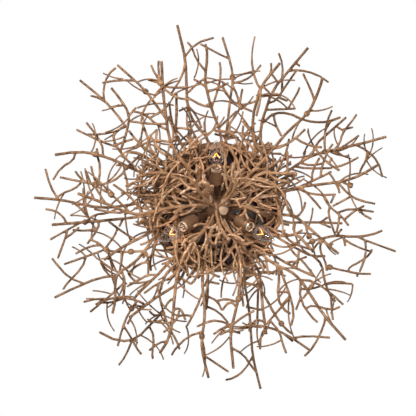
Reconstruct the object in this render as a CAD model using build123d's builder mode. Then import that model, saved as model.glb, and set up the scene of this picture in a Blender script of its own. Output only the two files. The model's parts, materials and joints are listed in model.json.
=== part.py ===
from build123d import *
import math
import os
from collections import namedtuple

import numpy as np

# Flush mount ceiling light: a nest of bronze twigs brazed into a ball hub under a round canopy,
# with three candle sockets that lean out and down from the hub.
# The origin is the centre of the ceiling face. +Z points up at the ceiling, and the light hangs
# below it, so a drop is a distance down from the ceiling. +X is across and +Y is down as the
# light is seen from straight below.

# Ceiling bracket
strap_end_margin = 15.0
strap_width = 22.0
strap_thickness = 2.5
box_screw_spacing = 70.0
box_screw_slot = 10.0
box_screw_diameter = 4.17
box_screw_neck_diameter = 3.9
box_screw_neck_length = 3.0
box_screw_head_diameter = 8.0
box_screw_head_height = 2.6
box_screw_length = 14.0
box_screw_cut_width = 1.0
box_screw_cut_depth = 1.0
ground_screw_diameter = 4.8
ground_screw_across_flats = 8.0
ground_screw_head_height = 3.2
ground_screw_length = 9.0
ground_screw_offset = 20.0
stud_turn = -67.8
stud_edge_inset = 45.0
stud_diameter = 4.17
stud_collar_across_flats = 8.0
stud_collar_height = 3.0

# Canopy and the mirror set in its face
canopy_diameter = 290.0
canopy_depth = 26.0
canopy_sheet = 1.5
canopy_lip_width = 10.0
canopy_lip_depth = 5.0
canopy_edge_radius = 6.0
mirror_thickness = 3.0
mirror_edge_gap = 0.4
stud_hole_gap = 0.4

# Ball nuts that hold the canopy up
ball_nut_diameter = 12.0
ball_nut_foot_diameter = 8.0
ball_nut_foot_height = 2.0
ball_nut_bore_depth = 9.0
stud_end_gap = 1.0
ball_washer_diameter = 15.0
ball_washer_thickness = 1.2

# Hub ball and the threaded pipe that carries it
hub_drop = 74.0
hub_radius = 37.0
hub_wall = 3.0
hub_flat_radius = 12.0
hub_boss_depth = 3.0
hub_lip_height = 3.0
hub_lip_depth = 2.0
hub_lip_wall = 1.6
nipple_diameter = 9.8
nipple_bore = 6.4
nipple_length = 38.0
nipple_top_drop = 10.0
nipple_nut_across_flats = 14.0
nipple_nut_height = 4.0
collar_diameter = 24.0
collar_waist_diameter = 18.0
collar_rim_height = 3.0
collar_rim_margin = 1.0

# Lamp arms, cups and sockets, measured along an arm from the centre of the hub
arm_count = 3
arm_first_turn = 30.0
arm_tilt = 44.0
arm_diameter = 10.0
arm_bore = 7.4
arm_start = 28.0
arm_collar_diameter = 14.0
arm_collar_height = 3.0
arm_plug = 8.5
arm_nut_across_flats = 13.0
arm_nut_height = 4.0
cup_start = 75.0
cup_length = 39.0
cup_diameter = 32.0
cup_wall = 1.4
cup_floor = 2.0
cup_back_radius = 4.0
socket_sleeve_diameter = 21.6
socket_sleeve_wall = 1.3
socket_sleeve_rise = 1.0
socket_core_diameter = 15.2
socket_core_step = 1.0
socket_bore = 12.7
socket_bore_depth = 18.0
socket_foot_depth = 3.0

# Candelabra bulbs
bulb_tip_diameter = 6.0
bulb_tip_height = 2.0
bulb_shell_diameter = 11.9
bulb_shell_length = 15.0
bulb_shell_wall = 0.6
bulb_glass_length = 76.0
bulb_glass_diameter = 32.0
bulb_glass_wall = 0.8
bulb_neck_diameter = 10.4
bulb_neck_plug = 3.0
bulb_belly_share = 0.36
bulb_end_radius = 2.4
filament_stem_diameter = 4.0
filament_stem_length = 16.0
filament_lead_diameter = 0.7
filament_coil_diameter = 1.1
filament_half_width = 7.0
filament_foot_height = 30.0
filament_peak_height = 43.0

# Fits
fit_gap = 0.15
seat_gap = 0.3
running_gap = 0.05
rod_hole_gap = 0.35

# Nest of twigs
eye_drop = 2400.0
ruled_drop = 154.0
stem_radius = 3.1
long_twig_radius = 2.8
twig_radius = 2.55
long_twig_length = 110.0
knot_radius = 6.0
knot_half_length = 5.0
knot_chamfer = 1.6
rod_inner_reach = 27.0
rod_bend_reach = 46.0
nest_gap = 0.8
nest_weld_length = 13.0
nest_sample = 3.0
nest_least_turn = 2.5
lamp_keep_out_radius = 18.5
lamp_keep_out_travel = 9.0
arm_keep_out_radius = 9.0
arm_keep_out_end = 10.0
canopy_keep_out = 8.0
corner_cut_share = 0.3
corner_cut_reach = 16.0
lift_steps = (0, 8, -8, 16, -16, 24, -24, 32, -32, 40, -40, 50, -50, 64, -64)

# Inner twigs, a rule for the dense middle of the nest: where they leave a stem, and their shape
inner_twig_reaches = (50.0, 60.0, 70.0, 80.0, 91.0, 103.0, 117.0, 131.0)
front_twig_reaches = (32.0, 42.0, 52.0, 62.0)
inner_twig_length = 56.0
inner_twig_least_turn = 30.0
inner_twig_turn_range = 55.0
inner_twig_curl = 44.0
inner_twig_rise = 50.0
inner_rising_share = 0.55
inner_fork_turn = 48.0
inner_fork_share = 0.55
golden_share = 0.618034

HubRing = namedtuple("HubRing", "tilt slots first_turn start_drop")
HUB_RINGS = (
    HubRing(tilt=-14.0, slots=15, first_turn=0.0, start_drop=56.0),
    HubRing(tilt=10.0, slots=12, first_turn=15.0, start_drop=88.0),
    HubRing(tilt=34.0, slots=12, first_turn=0.0, start_drop=120.0),
    HubRing(tilt=60.0, slots=9, first_turn=30.0, start_drop=122.0),
    HubRing(tilt=78.0, slots=3, first_turn=90.0, start_drop=126.0),
)

Branch = namedtuple("Branch", "ring slot tip_drop stem twigs knots", defaults=((),))

# Front stems, from the hub's underside: the slot of the hub that each enters and how low its tip is
FRONT_SLOTS = ((3, 1), (3, 2), (3, 4), (3, 5), (3, 7), (3, 8), (4, 0), (4, 1), (4, 2))
front_tip_drops = (186.0, 204.0, 176.0, 198.0, 190.0, 208.0, 214.0, 196.0, 206.0)
front_stem_start = {3: 31.0, 4: 13.0}
front_stem_step = 21.0
front_stem_steps = 3
front_stem_curl = 13.0

# Places worked out from the sizes above
canopy_radius = canopy_diameter / 2
canopy_face_drop = canopy_depth - canopy_lip_depth
mirror_face_drop = canopy_face_drop + mirror_thickness
stud_spacing = canopy_diameter - 2 * stud_edge_inset
strap_length = stud_spacing + 2 * strap_end_margin
stud_direction = Vector(1, 0, 0).rotate(Axis.Z, stud_turn)
stud_places = [stud_direction * (stud_spacing / 2), stud_direction * (-stud_spacing / 2)]
stud_bore_radius = stud_diameter / 2 + fit_gap
washer_face_drop = mirror_face_drop + ball_washer_thickness
stud_length = washer_face_drop + ball_nut_bore_depth - stud_end_gap
hub_centre = Vector(0, 0, -hub_drop)
hub_inner_radius = hub_radius - hub_wall
hub_flat_height = math.sqrt(hub_radius**2 - hub_flat_radius**2)
hub_flat_drop = hub_drop - hub_flat_height
nipple_hole_radius = nipple_diameter / 2 + fit_gap
cup_mouth = cup_start + cup_length
cup_inner_radius = cup_diameter / 2 - cup_wall
arm_end = cup_start + arm_plug
socket_start = cup_start + cup_floor
socket_rim = cup_mouth - socket_core_step
sleeve_rim = cup_mouth + socket_sleeve_rise
socket_floor = socket_rim - socket_bore_depth
bulb_tip_start = socket_floor + seat_gap
bulb_shell_start = bulb_tip_start + bulb_tip_height + running_gap
bulb_shell_end = bulb_shell_start + bulb_shell_length
bulb_neck_start = bulb_shell_end - bulb_neck_plug
bulb_glass_end = cup_mouth + bulb_glass_length


def on_circle(turn, tilt, reach):
    """Point at a reach from the hub's centre, turned about Z and tilted down."""
    flat = reach * math.cos(math.radians(tilt))
    across = flat * math.cos(math.radians(turn))
    down = flat * math.sin(math.radians(turn))
    return hub_centre + Vector(across, down, -reach * math.sin(math.radians(tilt)))


def export_piece(builder, name):
    builder.part.label = name
    export_step(builder.part, f"parts/{name}.step")


def hexagon_radius(across_flats):
    return across_flats / 2 / math.cos(math.radians(30))


os.makedirs("parts", exist_ok=True)

# Ceiling strap with its slots for the box screws and tapped holes for the studs
strap_plane = Plane(origin=(0, 0, 0), x_dir=stud_direction, z_dir=(0, 0, -1))
with BuildPart() as ceiling_strap:
    with BuildSketch(strap_plane):
        SlotOverall(strap_length, strap_width)
        with Locations((-box_screw_spacing / 2, 0), (box_screw_spacing / 2, 0)):
            SlotOverall(box_screw_slot, box_screw_diameter + 2 * stud_hole_gap, mode=Mode.SUBTRACT)
        with Locations((-stud_spacing / 2, 0), (stud_spacing / 2, 0)):
            Circle(stud_bore_radius, mode=Mode.SUBTRACT)
        with Locations((ground_screw_offset, 0)):
            Circle(ground_screw_diameter / 2 + fit_gap, mode=Mode.SUBTRACT)
    extrude(amount=strap_thickness)
export_piece(ceiling_strap, "ceiling_strap")

# Screws that hold the strap to the ceiling box
with BuildPart() as strap_screws:
    with BuildSketch(strap_plane.offset(strap_thickness)):
        with Locations((-box_screw_spacing / 2, 0), (box_screw_spacing / 2, 0)):
            Circle(box_screw_head_diameter / 2)
    extrude(amount=box_screw_head_height)
    with BuildSketch(strap_plane.offset(strap_thickness)):
        with Locations((-box_screw_spacing / 2, 0), (box_screw_spacing / 2, 0)):
            Circle(box_screw_neck_diameter / 2)
    extrude(amount=-box_screw_neck_length)
    with BuildSketch(strap_plane.offset(strap_thickness - box_screw_neck_length)):
        with Locations((-box_screw_spacing / 2, 0), (box_screw_spacing / 2, 0)):
            Circle(box_screw_diameter / 2)
    extrude(amount=box_screw_neck_length - box_screw_length)
    with BuildSketch(strap_plane.offset(strap_thickness + box_screw_head_height)):
        with Locations((-box_screw_spacing / 2, 0), (box_screw_spacing / 2, 0)):
            Rectangle(2 * box_screw_head_diameter, box_screw_cut_width)
    extrude(amount=-box_screw_cut_depth, mode=Mode.SUBTRACT)
export_piece(strap_screws, "strap_screws")

# Ground screw with its hexagon head
with BuildPart() as ground_screw:
    with BuildSketch(strap_plane.offset(strap_thickness)):
        with Locations((ground_screw_offset, 0)):
            RegularPolygon(hexagon_radius(ground_screw_across_flats), 6)
    extrude(amount=ground_screw_head_height)
    with BuildSketch(strap_plane.offset(strap_thickness)):
        with Locations((ground_screw_offset, 0)):
            Circle(ground_screw_diameter / 2)
    extrude(amount=-ground_screw_length)
export_piece(ground_screw, "ground_screw")

# Studs that hang from the strap, each with a hexagon collar under it
with BuildPart() as canopy_studs:
    with BuildSketch(strap_plane):
        with Locations((-stud_spacing / 2, 0), (stud_spacing / 2, 0)):
            Circle(stud_diameter / 2)
    extrude(amount=stud_length)
    with BuildSketch(strap_plane.offset(strap_thickness)):
        with Locations((-stud_spacing / 2, 0), (stud_spacing / 2, 0)):
            RegularPolygon(hexagon_radius(stud_collar_across_flats), 6)
    extrude(amount=stud_collar_height)
export_piece(canopy_studs, "canopy_studs")

# Canopy pan, pressed from sheet, hollow on the ceiling side and with a rolled lip round its face
lip_inner_radius = canopy_radius - canopy_lip_width
edge_inner_radius = canopy_edge_radius - canopy_sheet
edge_centre_radius = canopy_radius - canopy_edge_radius
edge_centre_z = canopy_edge_radius - canopy_depth
half_root = math.sqrt(0.5)
with BuildPart() as canopy_pan:
    with BuildSketch(Plane.XZ):
        with BuildLine():
            Polyline((canopy_radius - canopy_sheet, edge_centre_z), (canopy_radius - canopy_sheet, 0),
                     (canopy_radius, 0), (canopy_radius, edge_centre_z))
            ThreePointArc((canopy_radius, edge_centre_z),
                          (edge_centre_radius + canopy_edge_radius * half_root,
                           edge_centre_z - canopy_edge_radius * half_root),
                          (edge_centre_radius, -canopy_depth))
            Polyline((edge_centre_radius, -canopy_depth), (lip_inner_radius, -canopy_depth),
                     (lip_inner_radius, -canopy_face_drop), (nipple_hole_radius, -canopy_face_drop),
                     (nipple_hole_radius, canopy_sheet - canopy_face_drop),
                     (lip_inner_radius + canopy_sheet, canopy_sheet - canopy_face_drop),
                     (lip_inner_radius + canopy_sheet, canopy_sheet - canopy_depth),
                     (edge_centre_radius, canopy_sheet - canopy_depth))
            ThreePointArc((edge_centre_radius, canopy_sheet - canopy_depth),
                          (edge_centre_radius + edge_inner_radius * half_root,
                           edge_centre_z - edge_inner_radius * half_root),
                          (canopy_radius - canopy_sheet, edge_centre_z))
        make_face()
    revolve(axis=Axis.Z)
    with BuildSketch(Plane.XY.offset(-canopy_face_drop)):
        with Locations(*[(place.X, place.Y) for place in stud_places]):
            Circle(stud_diameter / 2 + stud_hole_gap)
    extrude(amount=canopy_sheet, mode=Mode.SUBTRACT)
export_piece(canopy_pan, "canopy_pan")

# Mirror set into the face of the canopy
with BuildPart() as mirror_plate:
    with BuildSketch(Plane.XY.offset(-canopy_face_drop)):
        Circle(lip_inner_radius - mirror_edge_gap)
        Circle(nipple_hole_radius, mode=Mode.SUBTRACT)
        with Locations(*[(place.X, place.Y) for place in stud_places]):
            Circle(stud_diameter / 2 + stud_hole_gap, mode=Mode.SUBTRACT)
    extrude(amount=-mirror_thickness)
export_piece(mirror_plate, "mirror_plate")

# Ball nuts and their washers
for number, place in enumerate(stud_places, start=1):
    with BuildPart() as ball_washer:
        with BuildSketch(Plane(origin=(place.X, place.Y, -mirror_face_drop), z_dir=(0, 0, -1))):
            Circle(ball_washer_diameter / 2)
            Circle(stud_diameter / 2 + seat_gap, mode=Mode.SUBTRACT)
        extrude(amount=ball_washer_thickness)
    export_piece(ball_washer, f"ball_washer_{number}")

    ball_reach = ball_nut_foot_height + math.sqrt(ball_nut_diameter**2 - ball_nut_foot_diameter**2) / 2
    nut_plane = Plane(origin=(place.X, place.Y, -washer_face_drop - running_gap), z_dir=(0, 0, -1))
    with BuildPart(nut_plane) as ball_nut:
        Cylinder(ball_nut_foot_diameter / 2, ball_reach, align=(Align.CENTER, Align.CENTER, Align.MIN))
        with Locations((0, 0, ball_reach)):
            Sphere(ball_nut_diameter / 2)
        Cylinder(stud_bore_radius, ball_nut_bore_depth, mode=Mode.SUBTRACT,
                 align=(Align.CENTER, Align.CENTER, Align.MIN))
    export_piece(ball_nut, f"ball_nut_{number}")

# Threaded pipe from the canopy to the hub, and the collar round it
with BuildPart() as centre_nipple:
    with BuildSketch(Plane.XY.offset(-nipple_top_drop)):
        Circle(nipple_diameter / 2)
        Circle(nipple_bore / 2, mode=Mode.SUBTRACT)
    extrude(amount=-nipple_length)
export_piece(centre_nipple, "centre_nipple")

collar_length = hub_flat_drop - mirror_face_drop
with BuildPart() as hub_collar:
    with BuildSketch(Plane.XY.offset(-mirror_face_drop)):
        Circle(collar_diameter / 2)
        Circle(nipple_hole_radius, mode=Mode.SUBTRACT)
    extrude(amount=-collar_length)
    with BuildSketch(Plane.XY.offset(-mirror_face_drop - collar_rim_height)):
        Circle(collar_diameter / 2 + collar_rim_margin)
        Circle(collar_waist_diameter / 2, mode=Mode.SUBTRACT)
    extrude(amount=2 * collar_rim_height - collar_length, mode=Mode.SUBTRACT)
export_piece(hub_collar, "hub_collar")

# The nest: 27 branches, each one stem that plugs into the hub and the twigs brazed to it.
# Every point is (across, down) in millimetres on the ruled plane, as seen from below.
# A stem's points run outward from the hub, and a twig's from its root to its tip.
BRANCHES = {
    "branch_01": Branch(
        ring=0, slot=12, tip_drop=132,
        stem=[(22, -92), (12, -122), (9, -160), (-8, -199), (-21, -247), (-24, -270), (-18, -320), (-23, -343)],
        twigs=[
            [(16, -108), (21, -155), (25, -195), (31, -232), (35, -272), (31, -300), (13, -357)],
            [(27, -312), (0, -324), (-34, -343)],
            [(36, -258), (44, -236), (49, -212), (76, -201)],
            [(49, -209), (33, -183), (26, -171)],
            [(49, -214), (67, -217), (84, -223)],
            [(40, -261), (60, -266), (78, -279), (94, -299)],
            [(49, -216), (52, -235), (55, -249)],
            [(46, -215), (35, -220), (16, -245)],
            [(9, -168), (23, -184), (43, -202)],
            [(21, -149), (8, -151), (-4, -154)],
            [(-10, -208), (5, -250), (10, -285), (7, -305)],
            [(-24, -270), (-40, -260), (-60, -240)],
            [(-22, -250), (-35, -262), (-48, -269)],
            [(-20, -243), (-5, -246), (26, -261)],
            [(-12, -211), (-30, -213), (-60, -230)],
            [(-25, -286), (-43, -311), (-51, -336), (-61, -347)],
        ],
        knots=[(30, -274), (48, -212)],
    ),
    "branch_02": Branch(
        ring=1, slot=10, tip_drop=196,
        stem=[(36, -60), (61, -84), (85, -113), (78, -148), (76, -190), (86, -224), (92, -252), (134, -303)],
        twigs=[
            [(44, -68), (52, -110), (54, -145), (73, -159)],
            [(52, -112), (64, -122), (72, -140), (86, -149)],
            [(50, -110), (46, -126), (40, -152)],
            [(53, -140), (55, -160), (57, -172)],
            [(77, -150), (70, -162), (55, -181)],
            [(91, -250), (82, -266), (75, -298), (75, -311)],
            [(95, -256), (112, -240)],
            [(92, -248), (93, -228), (84, -191)],
            [(90, -232), (112, -234), (135, -236)],
            [(103, -270), (116, -284), (115, -303)],
        ],
    ),
    "branch_03": Branch(
        ring=0, slot=13, tip_drop=150,
        stem=[(64, -84), (81, -107), (93, -126), (93, -171), (103, -202), (117, -244), (150, -286), (193, -335)],
        twigs=[
            [(94, -122), (103, -130), (111, -137)],
            [(93, -121), (111, -113), (137, -112)],
            [(94, -176), (108, -187), (122, -198), (152, -198), (180, -184), (207, -178), (235, -179), (261, -189)],
            [(120, -196), (123, -176), (137, -149)],
            [(112, -203), (133, -206), (167, -207)],
            [(149, -206), (170, -238), (175, -252)],
            [(111, -218), (128, -225), (142, -250), (170, -290)],
            [(138, -243), (138, -270), (140, -298), (131, -324)],
            [(131, -228), (150, -223)],
            [(150, -286), (172, -289), (210, -280), (236, -262)],
            [(128, -262), (115, -282)],
            [(165, -306), (176, -296)],
        ],
    ),
    "branch_04": Branch(
        ring=2, slot=10, tip_drop=205,
        stem=[(62, -62), (100, -99), (129, -135), (153, -162), (191, -194), (206, -222), (219, -255), (223, -273)],
        twigs=[
            [(119, -124), (140, -127), (166, -144), (187, -164)],
            [(167, -146), (182, -135), (205, -127), (222, -126)],
            [(207, -225), (198, -248), (182, -281)],
            [(206, -126), (220, -106), (240, -88), (259, -77)],
            [(207, -128), (203, -116), (196, -110)],
            [(248, -84), (272, -90), (299, -105)],
            [(236, -91), (243, -104)],
        ],
        knots=[(191, -194)],
    ),
    "branch_05": Branch(
        ring=2, slot=11, tip_drop=160,
        stem=[(55, -40), (95, -76), (133, -70), (168, -72)],
        twigs=[
            [(72, -48), (105, -46), (129, -55), (153, -67), (170, -67)],
            [(122, -72), (138, -93), (149, -122), (153, -144)],
            [(98, -78), (120, -93), (148, -101), (159, -110)],
            [(148, -72), (150, -96), (149, -118)],
            [(143, -62), (152, -50), (154, -42)],
        ],
    ),
    "branch_06": Branch(
        ring=0, slot=14, tip_drop=140,
        stem=[(70, -33), (112, -55), (151, -76), (176, -94), (203, -110), (240, -119), (300, -132), (357, -148)],
        twigs=[
            [(292, -130), (317, -119), (340, -96), (349, -63)],
            [(316, -118), (315, -98), (303, -80), (301, -67)],
            [(248, -121), (260, -134), (264, -155), (283, -178), (295, -195)],
            [(266, -162), (253, -169)],
            [(264, -163), (287, -168)],
            [(258, -124), (277, -134), (300, -151)],
            [(240, -119), (257, -111)],
            [(227, -117), (227, -150), (233, -182), (243, -204)],
            [(230, -162), (241, -182)],
            [(198, -108), (209, -132), (232, -154), (273, -189)],
            [(178, -95), (184, -106), (187, -119)],
            [(176, -93), (200, -87), (224, -92)],
            [(164, -85), (190, -81), (244, -82)],
            [(152, -77), (147, -88), (157, -96)],
        ],
        knots=[(227, -117)],
    ),
    "branch_07": Branch(
        ring=1, slot=11, tip_drop=185,
        stem=[(70, -18), (131, -30), (170, -42), (227, -49), (267, -54), (304, -67), (343, -91)],
        twigs=[
            [(172, -43), (200, -54), (220, -63), (242, -75)],
            [(219, -64), (222, -88), (236, -121), (245, -133)],
            [(200, -55), (202, -78), (217, -104)],
            [(172, -41), (186, -31), (220, -25), (251, -27)],
            [(176, -42), (204, -16), (220, 4)],
            [(262, -54), (272, -49), (282, -46)],
            [(249, -53), (244, -63), (236, -73)],
            [(250, -51), (256, -42), (259, -29)],
            [(256, -49), (277, -27), (300, -14), (334, -7)],
            [(284, -22), (262, -11), (244, -2)],
            [(224, -25), (236, -2), (262, 18), (278, 39)],
            [(237, -1), (235, 15), (243, 40), (250, 60)],
            [(248, -27), (240, -8)],
            [(255, 11), (283, 2), (331, 10)],
            [(270, 24), (291, 7), (311, -3)],
            [(299, 6), (307, 15), (326, 25)],
            [(257, 18), (257, 34), (252, 54)],
        ],
        knots=[(282, -47)],
    ),
    "branch_08": Branch(
        ring=0, slot=0, tip_drop=112,
        stem=[(70, 6), (131, 15), (164, 18), (184, 33), (205, 53), (229, 75), (257, 98)],
        twigs=[
            [(96, 11), (140, 33), (204, 31), (265, 34)],
            [(188, 37), (190, 50), (195, 62)],
            [(218, 33), (234, 21)],
            [(216, 33), (241, 43)],
            [(221, 66), (250, 59), (291, 63), (327, 58), (349, 49)],
            [(262, 61), (273, 72), (309, 89), (326, 93)],
            [(263, 72), (271, 82)],
            [(296, 64), (320, 73), (377, 93)],
            [(313, 72), (315, 100), (301, 136)],
            [(252, 60), (264, 45)],
            [(221, 68), (216, 90), (229, 112), (232, 134)],
            [(230, 124), (260, 132), (300, 140), (325, 140)],
            [(276, 136), (280, 125), (300, 116), (323, 99), (327, 88)],
            [(296, 139), (296, 147)],
            [(222, 66), (206, 84), (201, 95)],
            [(236, 79), (246, 77)],
            [(165, 16), (146, -4), (144, -23)],
            [(160, 17), (170, 22), (184, 3), (187, -11)],
        ],
        knots=[(195, 62), (238, 127)],
    ),
    "branch_09": Branch(
        ring=0, slot=1, tip_drop=135,
        stem=[(66, 30), (118, 60), (151, 60), (170, 56), (190, 79), (199, 88)],
        twigs=[
            [(166, 56), (181, 48)],
            [(138, 60), (144, 47)],
            [(120, 61), (148, 76), (177, 91), (200, 103), (229, 103)],
            [(145, 62), (160, 76), (184, 84), (203, 90)],
            [(148, 77), (160, 94), (172, 105)],
            [(188, 78), (203, 71), (216, 67)],
            [(174, 91), (172, 108), (168, 128)],
            [(203, 104), (223, 121), (225, 150), (240, 189), (251, 198)],
            [(239, 188), (242, 215), (245, 237)],
            [(229, 163), (250, 159), (286, 161)],
            [(165, 56), (163, 44), (167, 30)],
        ],
        knots=[(196, 57)],
    ),
    "branch_10": Branch(
        ring=1, slot=1, tip_drop=205,
        stem=[(52, 52), (95, 100), (127, 123), (153, 132), (177, 152), (197, 183), (227, 229), (272, 279)],
        twigs=[
            [(76, 78), (112, 96), (156, 123), (205, 145)],
            [(205, 144), (192, 126), (176, 108)],
            [(160, 125), (168, 112), (190, 104)],
            [(146, 117), (162, 114), (174, 116)],
            [(228, 231), (226, 250), (205, 293), (185, 313)],
            [(178, 152), (205, 155), (240, 180), (267, 205)],
            [(207, 155), (197, 170), (182, 192)],
            [(127, 124), (133, 142), (128, 190), (141, 215), (156, 224)],
            [(135, 128), (140, 147), (153, 180), (164, 222), (157, 249)],
            [(155, 186), (138, 205)],
            [(177, 154), (175, 195), (200, 231), (213, 242)],
            [(188, 214), (203, 205), (242, 217), (260, 209)],
            [(175, 190), (167, 216)],
            [(105, 107), (106, 125), (111, 141)],
            [(174, 172), (200, 172), (218, 166)],
            [(150, 178), (130, 178)],
        ],
    ),
    "branch_11": Branch(
        ring=0, slot=2, tip_drop=120,
        stem=[(47, 66), (78, 114), (94, 145), (95, 190), (101, 237), (105, 267)],
        twigs=[
            [(100, 253), (93, 270), (92, 299)],
            [(72, 105), (76, 130), (87, 154), (93, 168)],
            [(76, 132), (88, 129), (101, 125)],
            [(75, 131), (60, 150)],
            [(62, 100), (61, 115), (65, 128)],
            [(88, 158), (87, 217), (86, 237)],
            [(100, 240), (84, 235), (74, 247)],
            [(98, 215), (84, 214), (68, 210)],
        ],
    ),
    "branch_12": Branch(
        ring=2, slot=2, tip_drop=235,
        stem=[(34, 60), (52, 110), (51, 175), (38, 226), (30, 262), (31, 297), (36, 339)],
        twigs=[
            [(44, 82), (60, 120), (58, 155), (69, 213), (73, 262), (76, 313), (93, 382)],
            [(75, 312), (60, 342), (37, 359), (19, 363)],
            [(31, 296), (57, 309), (72, 332), (86, 348)],
            [(33, 246), (16, 252), (-6, 267)],
            [(31, 257), (7, 268)],
            [(30, 259), (51, 265)],
            [(36, 248), (54, 231), (80, 217)],
            [(52, 172), (55, 190), (57, 209)],
            [(34, 249), (3, 237), (-20, 241), (-41, 251)],
            [(73, 249), (60, 251), (48, 253)],
            [(73, 247), (107, 250), (151, 269), (199, 302)],
            [(160, 274), (187, 270), (239, 274)],
            [(59, 158), (87, 164), (104, 190), (123, 227), (147, 258), (161, 266)],
            [(122, 226), (132, 215), (152, 193)],
            [(120, 228), (105, 246)],
            [(113, 239), (133, 261), (139, 286), (147, 307)],
            [(138, 266), (161, 282)],
            [(42, 210), (28, 196), (12, 217)],
            [(70, 246), (69, 261)],
        ],
        knots=[(48, 192), (72, 247), (140, 242)],
    ),
    "branch_13": Branch(
        ring=1, slot=3, tip_drop=190,
        stem=[(-17, 62), (-22, 100), (-31, 150), (-24, 205), (-25, 243), (-32, 280), (-27, 317), (-16, 359)],
        twigs=[
            [(-20, 85), (-12, 110), (-18, 138), (-18, 190), (-22, 216)],
            [(-17, 157), (7, 161)],
            [(-17, 188), (2, 196), (12, 217)],
            [(2, 196), (22, 192), (43, 199)],
            [(-27, 312), (-9, 322), (26, 346)],
            [(-29, 278), (-25, 298)],
            [(-30, 261), (-60, 271), (-86, 297), (-94, 311)],
            [(-21, 207), (5, 219), (25, 243)],
            [(-29, 176), (-43, 216), (-62, 250)],
            [(-28, 130), (-38, 142), (-52, 161)],
            [(-50, 228), (-70, 226), (-84, 231)],
        ],
        knots=[(-28, 273)],
    ),
    "branch_14": Branch(
        ring=2, slot=4, tip_drop=215,
        stem=[(-34, 56), (-60, 84), (-80, 128), (-86, 165), (-90, 225), (-98, 275), (-119, 307)],
        twigs=[
            [(-44, 66), (-66, 104), (-65, 122), (-59, 141)],
            [(-40, 60), (-62, 62), (-44, 90), (-31, 107), (-10, 118)],
            [(-92, 260), (-83, 281), (-77, 299)],
            [(-103, 283), (-120, 284), (-141, 301)],
            [(-91, 250), (-111, 263)],
            [(-90, 246), (-81, 233), (-78, 217)],
            [(-91, 218), (-80, 211), (-70, 221), (-65, 237)],
            [(-92, 232), (-97, 249)],
            [(-75, 116), (-86, 140), (-100, 150)],
            [(-88, 190), (-100, 197), (-109, 214)],
        ],
    ),
    "branch_15": Branch(
        ring=0, slot=5, tip_drop=165,
        stem=[(-38, 68), (-60, 118), (-78, 160), (-120, 185), (-149, 206), (-183, 232)],
        twigs=[
            [(-62, 124), (-92, 147), (-124, 160), (-152, 181)],
            [(-123, 161), (-120, 185), (-113, 215), (-100, 252)],
            [(-113, 220), (-140, 247), (-167, 277), (-205, 283), (-246, 262)],
            [(-141, 248), (-130, 272), (-135, 307), (-133, 319)],
            [(-172, 280), (-165, 286)],
            [(-175, 282), (-190, 312), (-205, 332)],
            [(-112, 222), (-128, 230), (-141, 218)],
            [(-108, 234), (-124, 241), (-142, 240)],
            [(-150, 204), (-167, 195), (-200, 189), (-235, 194), (-254, 205)],
            [(-228, 193), (-250, 192), (-279, 199)],
            [(-194, 190), (-222, 201), (-243, 200)],
            [(-167, 196), (-185, 223), (-198, 256), (-207, 292)],
            [(-196, 247), (-180, 272), (-167, 297), (-157, 309)],
            [(-176, 227), (-187, 246)],
            [(-153, 208), (-173, 206)],
        ],
        knots=[(-178, 212), (-112, 222)],
    ),
    "branch_16": Branch(
        ring=1, slot=4, tip_drop=185,
        stem=[(-45, 55), (-79, 95), (-104, 122), (-129, 148), (-157, 173), (-170, 188)],
        twigs=[
            [(-101, 121), (-84, 143), (-52, 162)],
            [(-98, 114), (-115, 120)],
            [(-136, 154), (-149, 158), (-183, 160)],
            [(-124, 142), (-144, 142), (-160, 151), (-188, 167)],
            [(-88, 104), (-88, 122)],
        ],
    ),
    "branch_17": Branch(
        ring=0, slot=6, tip_drop=150,
        stem=[(-72, 32), (-128, 58), (-145, 86), (-174, 120), (-207, 137), (-213, 160), (-212, 197), (-218, 223)],
        twigs=[
            [(-130, 62), (-147, 75), (-160, 79)],
            [(-149, 92), (-180, 94), (-216, 94), (-233, 88)],
            [(-148, 94), (-143, 101), (-142, 138), (-146, 147)],
            [(-144, 114), (-163, 119), (-185, 139)],
            [(-188, 134), (-177, 150), (-169, 156)],
            [(-204, 135), (-227, 126), (-248, 108)],
            [(-211, 141), (-247, 148), (-293, 167), (-340, 190)],
            [(-279, 160), (-310, 148), (-334, 122), (-345, 107)],
            [(-213, 152), (-233, 136), (-243, 115)],
            [(-197, 134), (-191, 155), (-196, 192)],
            [(-192, 158), (-212, 177), (-241, 200), (-265, 220)],
            [(-233, 90), (-256, 98), (-287, 108), (-320, 120)],
            [(-272, 104), (-281, 127), (-313, 159), (-322, 173)],
            [(-230, 89), (-224, 103), (-218, 129)],
            [(-148, 98), (-154, 107)],
        ],
        knots=[(-179, 94), (-231, 88)],
    ),
    "branch_18": Branch(
        ring=0, slot=7, tip_drop=120,
        stem=[(-68, 10), (-109, 28), (-127, 48), (-167, 67), (-205, 88), (-236, 111)],
        twigs=[
            [(-170, 68), (-193, 55), (-226, 30)],
            [(-208, 46), (-213, 60), (-233, 86)],
            [(-199, 86), (-198, 108), (-203, 134)],
            [(-126, 49), (-128, 75), (-140, 112), (-137, 134)],
            [(-132, 90), (-107, 92), (-81, 98)],
            [(-112, 31), (-98, 46), (-96, 70)],
        ],
    ),
    "branch_19": Branch(
        ring=1, slot=5, tip_drop=165,
        stem=[(-65, 8), (-120, 11), (-160, 20), (-227, 28), (-275, 30), (-346, 37)],
        twigs=[
            [(-314, 32), (-322, 19), (-339, 7), (-359, 4)],
            [(-284, 33), (-307, 44), (-349, 68)],
            [(-312, 47), (-317, 66), (-333, 108)],
            [(-317, 66), (-301, 54), (-288, 42)],
            [(-276, 27), (-256, 15), (-228, 13), (-202, 0)],
            [(-246, 29), (-247, 44), (-271, 77)],
            [(-248, 45), (-271, 50), (-302, 48)],
            [(-262, 68), (-243, 77), (-228, 97)],
            [(-243, 79), (-267, 82), (-296, 98)],
            [(-194, 24), (-204, 41)],
            [(-146, 17), (-163, 34)],
            [(-150, 24), (-150, 41)],
        ],
        knots=[(-275, 31)],
    ),
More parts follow.
